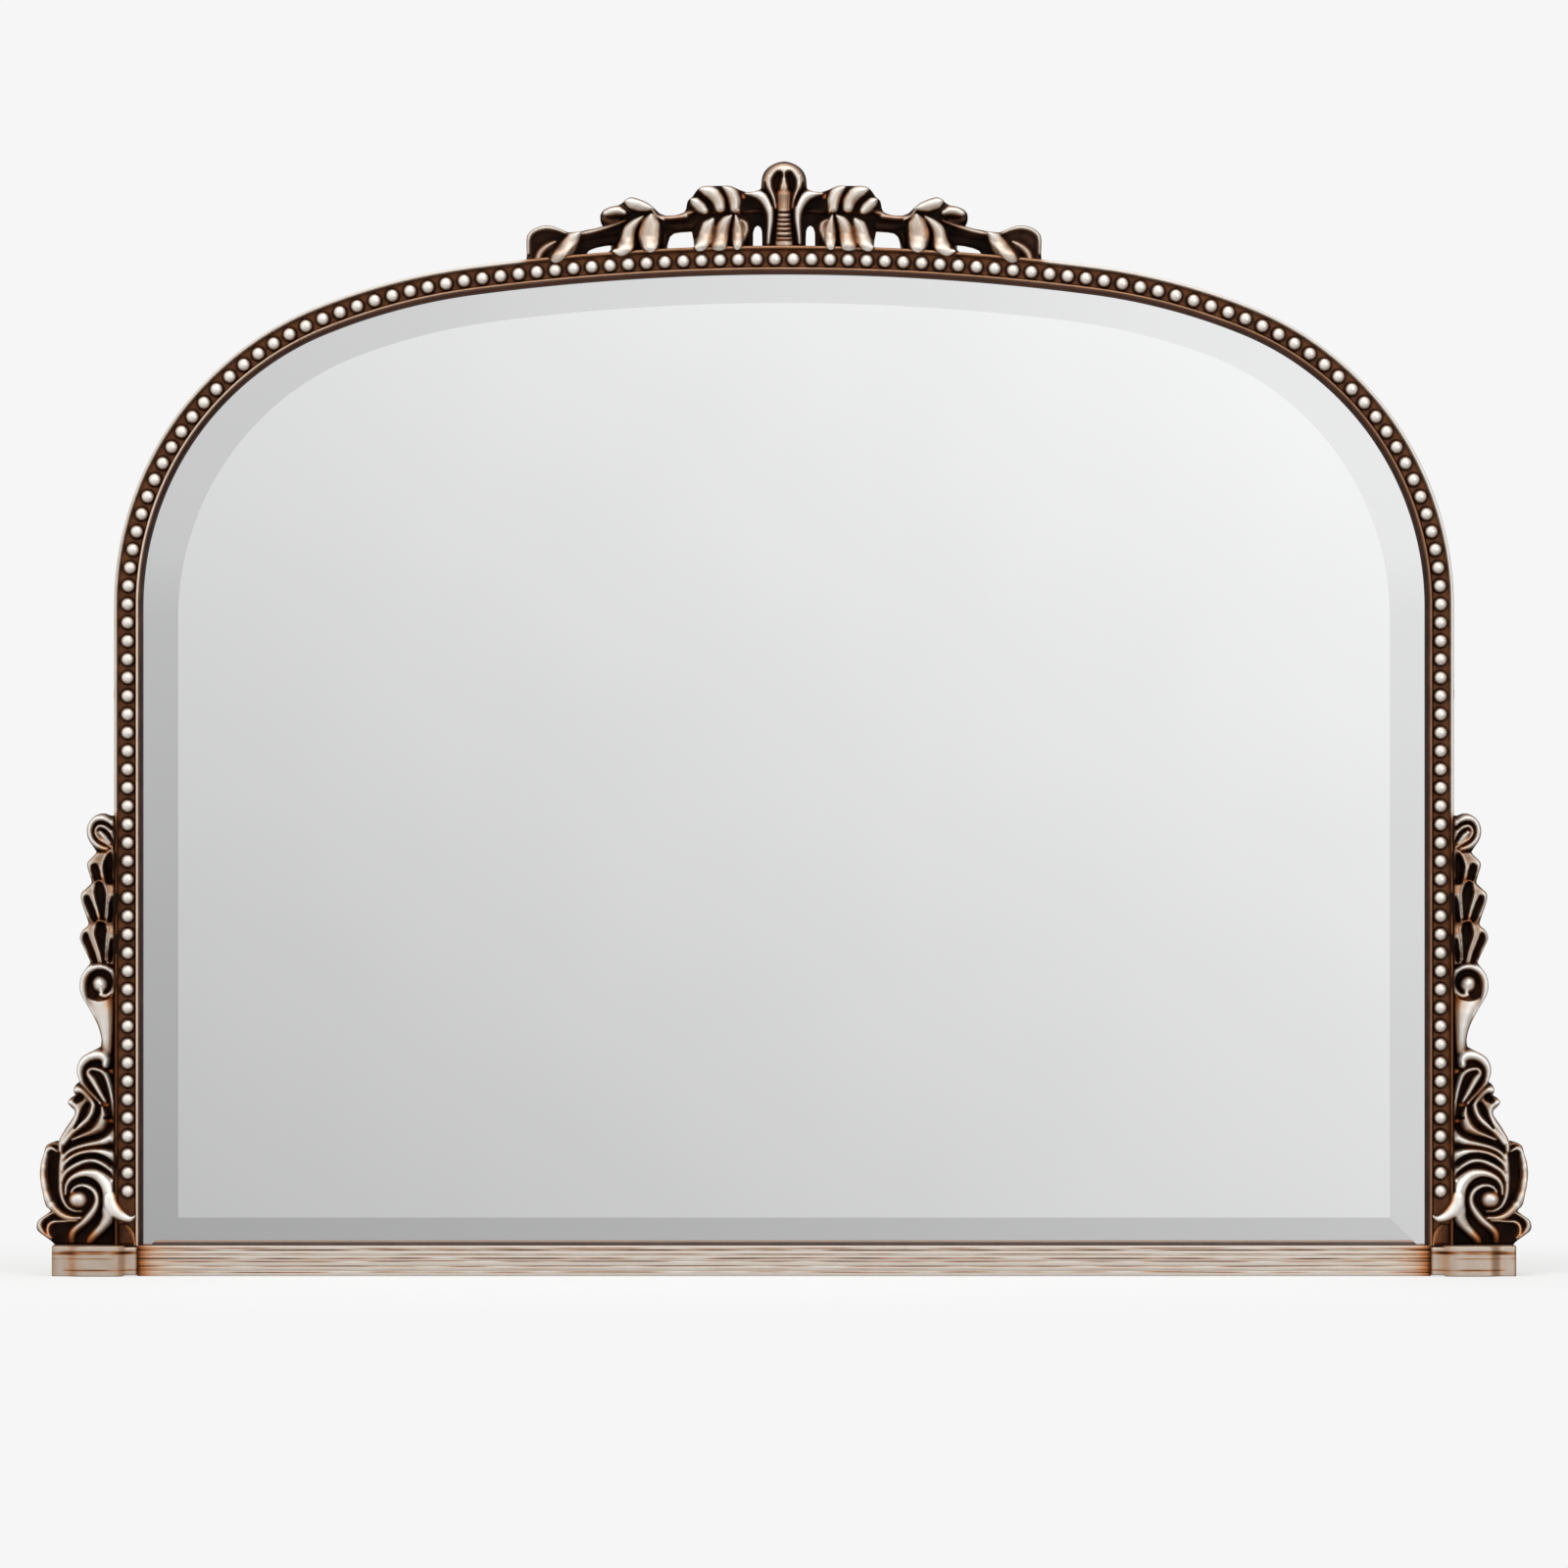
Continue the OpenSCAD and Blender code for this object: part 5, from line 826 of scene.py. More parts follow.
def crest_relief(step, crown_radius, over_frame):
    """Relief of one half of the crest, with the palmette whole, above the crown's arc of the given
    radius. Returns the field, the distance inside its outline, its holes taken out, and the height
    under it: the ground, or the moulding where a leaf tip laps over that."""
    f = Relief((-20, 212), (-15, 71), step)
    half = smooth_line(CREST_OUTLINE, 3)
    inside = f.inside(np.vstack([half[::-1] * (-1, 1), half, [(210.6, -30), (-210.6, -30)]]))
    above = np.hypot(f.X, f.Z + crown_radius) - crown_radius
    for hole in CREST_HOLES:
        inside = np.minimum(inside, -f.inside(smooth_line(hole + hole[:1], 3)))
    f.H[:] = 1.8
    carve_crest_scroll(f)
    carve_crest_leaves(f)
    carve_frond_and_bud(f)
    carve_crest_end(f)
    carve_palmette(f)
    f.round_off(inside, 2.2)
    crest_light_copper_and_glints(f)
    f.tone = np.clip(0.9 * patina_and_painted_light(f.H, step) + f.rub, 0.02, 1)
    lap = f.inside_any([outline + outline[:1] for outline in CREST_LAPS])
    over = above < 0.1
    # a leaf rises to clear the moulding's edge before it laps over it
    lift = over_frame + 0.4 + 0.5 * np.clip(lap, 0, 3)
    near = np.clip(1 - above / 12, 0, 1)
    near = near ** 2 * (3 - 2 * near) * np.clip(1 + lap / 2.5, 0, 1)
    f.lap_over(over, lap, lift, near)
    f.H = soften(f.H, 0.3 / step)
    return f, np.where(over, lap, np.minimum(inside, np.maximum(above - 0.1, lap))), np.where(over, over_frame, 0.0)


# Least thickness of a carved piece, tone of the backs and the ground, dark as patina and as painted
# shade behind the carving, and where the side ornament's drawing starts
LEAST_RELIEF, GROUND_PATINA_AND_SHADE = 0.15, 0.12
SIDE_ORIGIN = (OUTER_HALF - 1, 0)


def sizes():
    return bpy.context.scene.mirror_sizes


def relief_piece(name, field, inside, under, base, sign, origin, slot, stands_for):
    """One piece of a relief as a closed mesh: the grid cells inside its outline, with the nodes at
    the rim moved along the distance field onto the outline, a flat back and a wall between."""
    h = field.step
    near = inside > -0.5 * h
    cell = near[:-1, :-1] & near[1:, :-1] & near[:-1, 1:] & near[1:, 1:]
    around = np.pad(cell, 1).astype(int)
    count = around[:-1, :-1] + around[1:, :-1] + around[:-1, 1:] + around[1:, 1:]
    used, rim = count > 0, (count > 0) & (count < 4)
    gz, gx = np.gradient(inside, h)
    scale = np.where(rim, -inside / np.maximum(gx ** 2 + gz ** 2, 0.25), 0)
    X = field.X + np.clip(scale * gx, -h, h)
    Z = field.Z + np.clip(scale * gz, -h, h)
    hz, hx = np.gradient(field.H, h)
    H = field.H + (X - field.X) * hx + (Z - field.Z) * hz
    H = np.maximum(H, under + LEAST_RELIEF)
    index = np.cumsum(used).reshape(used.shape) - 1
    n = int(used.sum())
    j, i = np.nonzero(cell)
    a, b, c, d = index[j, i], index[j, i + 1], index[j + 1, i + 1], index[j + 1, i]
    front = np.stack([a, b, c, d], -1)
    walls = []
    for gone, p, q in ((~around[:-2, 1:-1].astype(bool), a, b), (~around[1:-1, 2:].astype(bool), b, c),
                       (~around[2:, 1:-1].astype(bool), c, d), (~around[1:-1, :-2].astype(bool), d, a)):
        k = gone[j, i]
        walls.append(np.stack([q[k], p[k], p[k] + n, q[k] + n], -1))
    quads = np.vstack([front, front[:, ::-1] + n] + walls)
    x = sign * (X[used] + origin[0])
    z = Z[used] + origin[1]
    verts = np.vstack([placed(x, z, base + H[used]), placed(x, z, base + np.broadcast_to(under, H.shape)[used])])
    tones = np.r_[field.tone[used], np.full(n, GROUND_PATINA_AND_SHADE)]
    return piece(name, np.clip(verts, *CAD_BOX), quads, (), (stands_for,), [carved_leaf()],
                 {"tone": tones, "warm": np.r_[field.warm[used], np.zeros(n)]}, slot=slot, crease=66)


def relief_pieces(relief, cells, origin, sides=SIDES):
    """The pieces of a relief on each side, divided by cells that lap their seams by a tenth of a millimetre."""
    f, inside, under = relief
    for name, cell in cells.items():
        part = np.minimum(inside, f.inside(cell) + 0.1)
        for side, sign in sides:
            end = side and "_" + side
            relief_piece(name + "_carved" + end, f, part, under, GROUND_FRONT, sign, origin, "leaf_gilding", name + end)


# The cells that divide the reliefs, as in the frame's own drawing
SIDE_CELLS = {
    "foot_leaf": [(31, 22), (70, 22), (70, 51.6), (46.2, 51.6), (31, 46)],
    "shell_rim": [(31, 46.2), (46.2, 51.8), (70, 51.8), (70, 112), (47, 112), (46.4, 100), (47, 62), (40, 53),
                  (31, 50)],
    "acanthus_scroll": [(-20, 22), (30.8, 22), (30.8, 50), (39.8, 53.2), (46.8, 62), (46.2, 100), (46.8, 104),
                        (-20, 104)],
    "acanthus_leaf": [(-9, 104.2), (46.8, 104.2), (46.8, 112), (46, 186.8), (-9, 186.8)]}
SIDE_CELLS.update((name, [(-9, low), (46, low), (46, high), (-9, high)]) for name, low, high in (
    ("volute", 187, 254.4), ("lower_husk", 254.6, 290.4), ("middle_husk", 290.6, 322.9),
    ("upper_husk", 323.1, 346.9), ("top_bud", 347.1, 382)))
PALMETTE_HALF = [(8.4, -6), (8.4, 34), (9.5, 39), (18.9, 45.5), (18.9, 49), (26, 72)]
CREST_CELLS = {
    "crest_scroll": [(8.6, -8), (33.6, -8), (33.6, 26), (37, 31), (37, 52), (19.1, 49), (19.1, 45.4), (9.8, 38.9),
                     (8.6, 34)],
    "crest_upper_leaves": [(37.2, 31), (34, 26.2), (82, 26.2), (82, 53), (37.2, 53)],
    "crest_lower_leaves": [(33.8, -12), (82, -12), (82, 26), (33.8, 26)],
    "crest_frond": [(82.2, -16), (112.8, -16), (121, 24), (133, 35.5), (133, 42), (82.2, 42)],
    "crest_bud": [(113, -16), (143.5, -16), (148, 15), (152, 26), (146, 33), (133.2, 34), (121.2, 23.8)],
    "crest_end": [(143.8, -18), (214, -18), (214, 20), (152, 20), (148.2, 15)]}


# Section of the moulding: outward from the opening, forward, and the tone of the leaf there, partly painted
# highlight on the crests of the rim and the outer edge and painted shade on the lip and down the slopes
MOULDING_SECTION = np.array([
    (22.4, 0, .14), (22.4, 12, .22), (22.4, 24, .4), (22.4, 29.4, .52), (22.1, 30.5, .58), (21.7, 31.2, .61),
    (21.2, 31.6, .62), (20.6, 31.5, .59), (20.1, 31.1, .54), (19.7, 30.3, .48), (19.4, 29.2, .42), (19.1, 28.1, .36),
    (18.6, 27.35, .28), (18, 27.05, .22), (17, 27, .23), (15.5, 27, .24), (13.4, 27, .22), (11.3, 27, .2),
    (9.2, 27, .22), (7.4, 27, .23), (6.3, 27.05, .22), (5.6, 27.6, .25), (5.2, 28.8, .33), (4.9, 30.6, .42),
    (4.6, 32.1, .46), (4.2, 32.8, .6), (3.6, 33, .76), (3.1, 32.85, .74), (2.7, 32.3, .5), (2.4, 31.2, .16),
    (2.1, 29.8, .08), (1.5, 27.6, .05), (0.8, 26, .05), (0.4, 25.1, .05), (0, 24.3, .05), (0, 22.4, .04),
    (0, 20.535, .06), (10.8, 20.535, .08), (10.8, 9, .08), (16.8, 9, .08), (16.8, 0, .1)])
# Where the lip ends, the outer edge begins and the rim and channel lie, and where the lip and rim are warm
LIP, EDGE, RIM, CHANNEL = 2.3, 19, (2.3, 5), (5, 19)
WARM_LIP, WARM_RIM = 2.5, (2.5, 4.7)


def between(u, span):
    return (u > span[0]) & (u < span[1])


def moulding_length(name, stands_for, points, outward, run, sign, beside=0.0):
    """The moulding carried along points of the opening's edge: a section point u outward and d
    forward stands at point + u * outward, d. run is the distance along the bead line, and beside
    tells how far the outer edge takes painted shade from the carving next to it, 0 to 1 at each point."""
    u, d, tone = MOULDING_SECTION.T
    x = sign * (points[:, :1] + outward[:, :1] * u)
    z = points[:, 1:] + outward[:, 1:] * u
    carving_shade = np.broadcast_to(beside, len(x))[:, None] * np.clip((u - 18.4) / 1.4, 0, 1)
    # painted light from the left: the slopes that face left are painted brighter, the rim's on the left, the edge's on
    # the right
    facing = sign * outward[:, :1]
    rim, edge = np.interp(facing, (-1, 0, 1), (1, 0.66, 0.54)), np.interp(facing, (-1, 1), (1.1, 1.38))
    tone = tone * np.where(u > EDGE, edge, np.where(between(u, RIM), rim, 1))
    # the lip is painted brighter along the crown, and the outer edge darker with the carving's painted shade
    tone = (tone + 0.1 * (u < LIP) * (1 - np.abs(facing))) * (1 - 0.66 * carving_shade)
    warm = 0.4 * carving_shade + 0.3 * between(u, CHANNEL) + 0.85 * (u < WARM_LIP) + 0.2 * between(u, WARM_RIM)
    swept(name, x, z, d, stands_for=(stands_for,), crease=50,
          materials=[leaf_material("moulding_leaf", shade=bead_shade, clouding=0.6, copper=0.15)],
          values={"tone": tone, "warm": warm, "along": np.repeat(run, len(u)),
                  "across": np.tile(u - BEAD_LINE, len(x))})


def bead_runs():
    """Length of the bead line on the stile, the corner, the haunch and the crown, and the bead pitch."""
    runs = [SPRING_Z - FIRST_BEAD_Z] + [(a[1] + BEAD_LINE) * math.radians(a[3] - a[2]) for a in SIGHT[::-1]]
    return runs, sum(runs) / (sizes().beads_per_side - 0.5)


# How far a bead's and a boss's foot is sunk into the channel's floor, and a bead's tones over its share of the radius:
# a painted highlight at its middle, falling to painted shade at its edge
SUNK = 0.02
BEAD_HIGHLIGHT_AND_SHADE = (0, 0.5, 0.8, 0.94, 1), (0.92, 0.84, 0.66, 0.4, 0.16)


def bead_shade(tree, value):
    """Darkens the channel in a ring round each bead: the distance to the nearest bead is
    the root of (how far along from it) squared plus (how far across) squared."""
    pitch = bead_runs()[1]
    along = attribute(tree, "along")
    part = minus(tree, maths(tree, "FRACT", plus(tree, maths(tree, "DIVIDE", along, pitch), 0.5)), 0.5)
    distance = length_of(tree, times(tree, part, pitch), attribute(tree, "across"))
    ring = times(tree, ranged(tree, distance, 7.6, 5.6, smooth=True), ranged(tree, along, -9.0, -7.0))
    return minus(tree, value, times(tree, ring, 0.17))


def bead_domes(name, centres, stands_for):
    """Beads as domes: rings of a circle of radius r * cos(t) at a height of centre + r * sin(t)."""
    r, height = sizes().bead_radius / MM, sizes().bead_height / MM
    foot = FLOOR_D - SUNK
    low = -math.asin((height - r) / r) if height > r else 0.0
    t = np.r_[low, np.radians([0, 26, 48, 66, 80])]
    a = np.linspace(0, 2 * np.pi, 14, endpoint=False)
    ring_r = r * np.cos(t)
    px = np.r_[(ring_r[:, None] * np.cos(a)).ravel(), 0]
    pz = np.r_[(ring_r[:, None] * np.sin(a)).ravel(), 0]
    pd = np.r_[np.repeat(foot + (height - r) + r * np.sin(t), len(a)), foot + height]
    tone = np.r_[np.repeat(np.interp(ring_r / r, *BEAD_HIGHLIGHT_AND_SHADE), len(a)), 0.95]
    # the ring at the foot is painted dark as shade where the bead meets the channel
    tone[:len(a)] = 0.1
    rings, k = len(t), len(a)
    quads, caps = carried(rings, k)
    top = np.array([[(rings - 1) * k + q, (rings - 1) * k + (q + 1) % k, rings * k] for q in range(k)])
    every = np.arange(len(centres))[:, None, None] * len(pd)
    polygons = (every + top).reshape(-1, 3).tolist() + (every[:, 0] + np.array(caps[0])).tolist()
    piece(name, placed(centres[:, :1] + px, centres[:, 1:] + pz, pd), (every + quads).reshape(-1, 4), polygons,
          stands_for, [leaf_material("bead_leaf", clouding=0.4, copper=0.3)], {"tone": np.tile(tone, len(centres))},
          slot="bead_gilding", crease=75)


def wander(x, seed, size):
    """Slow even wandering between -1 and 1 along x: the mean of four sines of unlike length."""
    rng = np.random.default_rng(seed)
    return sum(np.sin(x / (size * s) + p) for s, p in zip((1.0, 0.62, 0.37, 0.21), rng.uniform(0, 6.3, 4))) / 3.0


def foot_boss(side, sign):
    """The low boss at the foot of the stile's channel, with a rim painted brighter towards the glass."""
    f = Relief((-19, 1), (23, 44), sizes().carving_step / MM)
    inside = f.inside(smooth_line([(-2.2, 24.6), (-2.2, 40.5), (-4.4, 42.1), (-7.4, 42.5), (-10.9, 41.5),
                                   (-14.2, 37.5), (-16.6, 32.5), (-17.2, 24.6)], 3))
    f.H = (4.2 - 0.09 * (f.X + 17)) * round_edge(inside, 3)
    rim = [(-16.2, 23), (-15.8, 29), (-14.6, 34), (-12.2, 38), (-9.2, 40.4)], [0.7, 0.8, 0.9, 0.8, 0.5]
    f.add(*rim, 6.4, 1.2, 0.5)
    line = f.stroke(*rim, 1.0, 1.4)
    f.tone = 0.26 - 0.012 * (f.X + 17) + 0.42 * line - 0.1 * (1 - round_edge(inside, 1.2))
    f.warm = np.clip(0.35 + line, 0, 1)
    relief_piece("foot_boss_" + side, f, inside, 0.0, FLOOR_D - SUNK, sign, SIDE_ORIGIN, "gilding", "stile_" + side)


# Streaks along the rail and the blocks: height, half width, strength and seed
RAIL_STREAKS = [(22.6, 0.3, 0.3, 3), (21.2, 0.32, 0.6, 5), (17.9, 0.28, 0.3, 8), (14.5, 0.34, 0.62, 11),
                (11.9, 0.3, 0.42, 17), (8, 0.3, 0.4, 23), (5.6, 0.26, 0.16, 29), (3.3, 0.34, 0.34, 31)]
BLOCK_STREAKS = [(20.2, 0.4, 0.42, 41), (18.7, 0.85, 0.5, 43), (14.5, 0.35, 0.26, 47), (5.0, 0.5, 0.4, 53)]
# Tones along the rail's top, from its back under the glass to its front edge: a painted shadow at the back, where the
# glass stands on the rail, lighter to the front
RAIL_TOP_SHADOW_TONES = (0.07, 0.07, 0.42, 0.52)


def streaked(x, z, streaks, size):
    """How much the streaks darken the leaf at x and z, each a ridge across z that comes and goes along x."""
    total = np.zeros(np.broadcast(x, z).shape)
    for height, half, strength, seed in streaks:
        fade = np.clip(0.55 + 0.75 * wander(x, seed, size), 0, 1)
        drift = 0.25 * wander(x, seed + 1, 3 * size)
        total = total + strength * fade * np.exp(-((z - height - drift) / half) ** 2)
    return total


def rail_section():
    """Section of the rail as (up, forward): six round reeds on the front, and the rebates behind."""
    h, depth = FLOOR_TO_BASE / sizes().reed_count, sizes().reed_depth / MM
    t = np.linspace(0, np.pi, 15)[:-1]
    i = np.arange(sizes().reed_count)[:, None]
    up = FLOOR_TO_BASE - h * (i + (1 - np.cos(t)) / 2)
    front = RAIL_DEPTH - depth + depth * np.sin(t) + 0 * i
    back = [(0, RAIL_DEPTH - depth), (0, 0), (5.6, 0), (5.6, 9), (12.5, 9), (12.5, 20.66), (FLOOR_TO_BASE, 20.66),
            (FLOOR_TO_BASE, 29.6), (FLOOR_TO_BASE, 31.2), (FLOOR_TO_BASE, RAIL_DEPTH - depth - 0.4)]
    return np.vstack([np.stack([up.ravel(), front.ravel()], -1), back]), up.size


def block_stations():
    """Stations along a block from its inner end, and the depth of its front there: two flat
    wings and a bulge between them, joined by smooth steps."""
    plan = smooth_line([(0, 43.2), (0.5, 43.5), (3, 43.5), (6.2, 43.6), (9.2, 44.6), (12.4, 46.9), (15.6, 49.1),
                        (19.4, 49.9), (26, 50), (38, 50), (45.2, 49.9), (49, 49.1), (52.2, 46.9), (55.4, 44.6),
                        (58.4, 43.6), (61.6, 43.5), (66.5, 43.5), (68.6, 43.1), (69.5, 41.8)], 5)
    x = np.unique(np.r_[0, np.arange(0.25, BLOCK_W, 0.75), BLOCK_W, 2.2, 2.4])
    return x, np.minimum(np.interp(x, plan[:, 0], plan[:, 1]), 50)


class MIRROR_OT_mouldings(bpy.types.Operator):
    """Makes the stiles and the curved mouldings of the arch"""
    bl_idname = "mirror.mouldings"
    bl_label = "Mouldings"

    def execute(self, context):
        runs = bead_runs()[0]
        for side, sign in SIDES:
            z = np.linspace(FLOOR_TO_BASE, SPRING_Z, 120)
            points = np.stack([np.full_like(z, SIGHT_HALF), z], -1)
            # the carving beside the stile paints shade on its outer edge up to 379 mm, fading over 8 mm
            moulding_length("stile_leaf_" + side, "stile_" + side, points, np.tile([1.0, 0.0], (len(z), 1)),
                            z - FIRST_BEAD_Z, sign, np.clip((379 - z) / 8, 0, 1))
            foot_boss(side, sign)
            start = runs[0]
            for arc, run, part, count in ((SIGHT[2], runs[1], "corner", 90), (SIGHT[1], runs[2], "haunch", 60)):
                angle = np.linspace(arc[3], arc[2], count)
                moulding_length(part + "_leaf_" + side, part + "_" + side, *on_arc(arc, angle),
                                start + run * (arc[3] - angle) / (arc[3] - arc[2]), sign)
                start += run
        angle = np.linspace(-CROWN_ANGLE, CROWN_ANGLE, 121)
        points, out = on_arc(SIGHT[0], angle)
        # the crest paints shade on the crown's outer edge out to 214 mm from the centre line
        moulding_length("crown_leaf", "crown_moulding", points, out,
                        start + runs[3] * (CROWN_ANGLE - np.abs(angle)) / CROWN_ANGLE, 1,
                        0.62 * np.clip((214 - np.abs(points[:, 0])) / 8, 0, 1))
        return {"FINISHED"}


class MIRROR_OT_beads(bpy.types.Operator):
    """Makes the two strings of beads, one from each foot to the middle of the crown"""
    bl_idname = "mirror.beads"
    bl_label = "Bead Strings"

    def execute(self, context):
        runs, pitch = bead_runs()
        s = np.arange(sizes().beads_per_side) * pitch
        ends = np.cumsum(runs)
        centres = np.stack([np.full_like(s, SIGHT_HALF + BEAD_LINE), FIRST_BEAD_Z + s], -1)
        for arc, start, run in zip(SIGHT[::-1], ends, runs[1:]):
            points, out = on_arc(arc, arc[3] - (s - start) / run * (arc[3] - arc[2]))
            centres = np.where((s > start)[:, None], points + out * BEAD_LINE, centres)
        for side, sign in SIDES:
            bead_domes("beads_" + side, centres * (sign, 1), ("bead_string_" + side,))
        return {"FINISHED"}


class MIRROR_OT_base(bpy.types.Operator):
    """Makes the reeded base rail and the two plinth blocks"""
    bl_idname = "mirror.base"
    bl_label = "Base Rail and Blocks"

    def execute(self, context):
        mat = leaf_material("base_leaf", clouding=0.35, copper=0.35, depth=0.00008)
        section, front = rail_section()
        z, d = section.T
        X, Z = np.meshgrid(np.linspace(-BLOCK_INNER, BLOCK_INNER, 300), z, indexing="ij")
        streaks = streaked(X, Z, RAIL_STREAKS, 40)
        # painted shade gathers at the rail's ends beside the blocks, over the first 3.5 and 12 mm, and warms them
        edge = BLOCK_INNER - np.abs(X)
        tone = 0.72 - 1.8 * streaks - 0.3 * np.exp(-edge / 3.5) - 0.28 * np.exp(-edge / 12)
        tone[:, front:] = 0.2
        tone[:, -4:] = RAIL_TOP_SHADOW_TONES
        warm = np.clip(2 * streaks + 0.9 * np.exp(-edge / 14), 0, 1)
        warm[:, -4:-2] = 0.8
        swept("rail_leaf", X, Z, d, stands_for=("base_rail",), materials=[mat], values={"tone": tone, "warm": warm},
              slot="rail_gilding", crease=35)
        for side, sign in SIDES:
            self.block(side, sign, mat)
        return {"FINISHED"}

    def block(self, side, sign, mat):
        """A block as a section of rounded front edges carried along X, its depth from block_stations."""
        x, depth = block_stations()
        t = np.linspace(0, np.pi / 2, 5)
        lower = np.stack([0.9 - 0.9 * np.cos(t), -0.9 + 0.9 * np.sin(t)], -1)
        middle = np.stack([np.linspace(1.4, FLOOR_TO_BASE - 1.4, 40), np.zeros(40)], -1)
        upper = np.stack([FLOOR_TO_BASE - lower[::-1, 0], lower[::-1, 1]], -1)
        z, fall = np.vstack([lower, middle, upper]).T
        z, fall = np.r_[0, z, FLOOR_TO_BASE], np.r_[0, fall, 0]
        # the inner 2.3 mm leave room for the rail behind them
        back = np.where(x < 2.3, 22.5, 0.0)
        X, Z = np.meshgrid(x, z, indexing="ij")
        D = depth[:, None] + fall
        D[:, 0] = D[:, -1] = back
        # the inner 11.5 mm are 1.1 mm lower at the top and higher at the foot
        Z = Z + np.clip((11.5 - X) / 1.2, 0, 1) * (1 - 2 * Z / FLOOR_TO_BASE) * 1.1
        # painted shade, warmer too, where the front turns between the wings and the bulge
        step = soften(np.clip(np.abs(np.gradient(depth, x)), 0, 1.2)[:, None] + 0 * X, 2.2)
        streaks = streaked(X, Z, BLOCK_STREAKS, 18)
        tone = 0.61 - 1.1 * streaks - 0.14 * step
        tone += 0.08 * np.exp(-((Z - 22.4) / 0.5) ** 2) - 0.25 * np.exp(-(X / 0.8) ** 2)
        tone[:, 0] = tone[:, -1] = 0.25
        swept("block_leaf_" + side, sign * (BLOCK_INNER + X), Z, D, stands_for=("plinth_block_" + side,),
              materials=[mat], values={"tone": tone, "warm": np.clip(2 * streaks + 0.16 * step, 0, 1)},
              slot="plinth_gilding", crease=38)


class MIRROR_OT_glass(bpy.types.Operator):
    """Makes the bevelled mirror plate"""
    bl_idname = "mirror.glass"
    bl_label = "Mirror Glass"

    def execute(self, context):
        def outline(out, bottom):
            right = [on_arc(arc, np.linspace(arc[3], arc[2], n, endpoint=False)) for arc, n in
                     zip(FIELD[::-1], (120, 30, 16))]
            half = np.vstack([p + o * out for p, o in right] + [[(0, FIELD_TOP + out)]])
            ring = np.vstack([[half[0] * (1, 0) + (0, bottom)], half])
            return np.vstack([ring, ring[-2::-1] * (-1, 1)])
        bevel = sizes().bevel_width / MM
        edge, line = outline(bevel, BEVEL_LINE_Z - bevel), outline(0, BEVEL_LINE_Z)
        verts = np.vstack([placed(*edge.T, GLASS_BACK), placed(*edge.T, GLASS_EDGE), placed(*line.T, GLASS_FRONT)])
        # the bevel's silvering is painted darker than the field's, as shade
        piece("glass_plate", verts, *carried(3, len(edge)), ("mirror_glass",),
              [mirror_material("mirror_field", 1.0), mirror_material("mirror_bevel", sizes().bevel_shade)],
              face_material=np.r_[np.ones(2 * len(edge)), 0, 0], slot="mirror")
        return {"FINISHED"}


class MIRROR_OT_side_carving(bpy.types.Operator):
    """Makes the carved side ornaments: foot leaf, shell, acanthus, volute, husks and bud"""
    bl_idname = "mirror.side_carving"
    bl_label = "Side Carving"

    def execute(self, context):
        relief_pieces(side_relief(sizes().carving_step / MM, OVER_FRAME - GROUND_FRONT), SIDE_CELLS, SIDE_ORIGIN)
        return {"FINISHED"}


class MIRROR_OT_crest_carving(bpy.types.Operator):
    """Makes the pierced crest: palmette, scrolls, leaves, fronds and buds"""
    bl_idname = "mirror.crest_carving"
    bl_label = "Crest Carving"

    def execute(self, context):
        relief = crest_relief(sizes().carving_step / MM, CROWN_RADIUS + FRAME_W, OVER_FRAME - GROUND_FRONT)
        origin = (0, SIGHT_TOP + FRAME_W)
        palmette = PALMETTE_HALF + [(-x, z) for x, z in PALMETTE_HALF[::-1]]
        relief_pieces(relief, {"crest_palmette": palmette}, origin, (("", 1),))
        relief_pieces(relief, CREST_CELLS, origin)
        return {"FINISHED"}


# Finishes of the frame's own parts: colour, roughness, metallic, stretch and scale of the grain, how far
# it strays from the colour, its depth in metres, and the parts
PART_FINISHES = {
    "board_wood": ((150, 116, 78), 0.6, 0.0, (1, 1, 0.06), 260.0, 0.3, 0.0001, ("back_board",)),
    "dowel_beech": ((196, 160, 116), 0.55, 0.0, (0.1, 1, 1), 700.0, 0.25, 0.0001, ("joint_dowels",)),
    "pad_foam": ((56, 54, 52), 0.9, 0.0, (1, 1, 1), 1500.0, 0.35, 0.0003, ("glass_pads",)),
    "screw_brass": ((196, 164, 92), 0.34, 1.0, (1, 1, 1), 1800.0, 0.12, 0.00003, ("board_screws", "hanger_screws")),
    "hanger_brass": ((186, 158, 98), 0.3, 1.0, (1, 1, 0.2), 2400.0, 0.15, 0.00003,
                     ("hanger_plate_left", "hanger_plate_right", "hanger_ring_left", "hanger_ring_right")),
    "pin_steel": ((168, 168, 170), 0.35, 1.0, (0.2, 1, 1), 1800.0, 0.12, 0.00003, ("ornament_pins",)),
    "bumper_rubber": ((38, 37, 36), 0.75, 0.0, (1, 1, 1), 1300.0, 0.3, 0.0001, ("wall_bumpers",))}


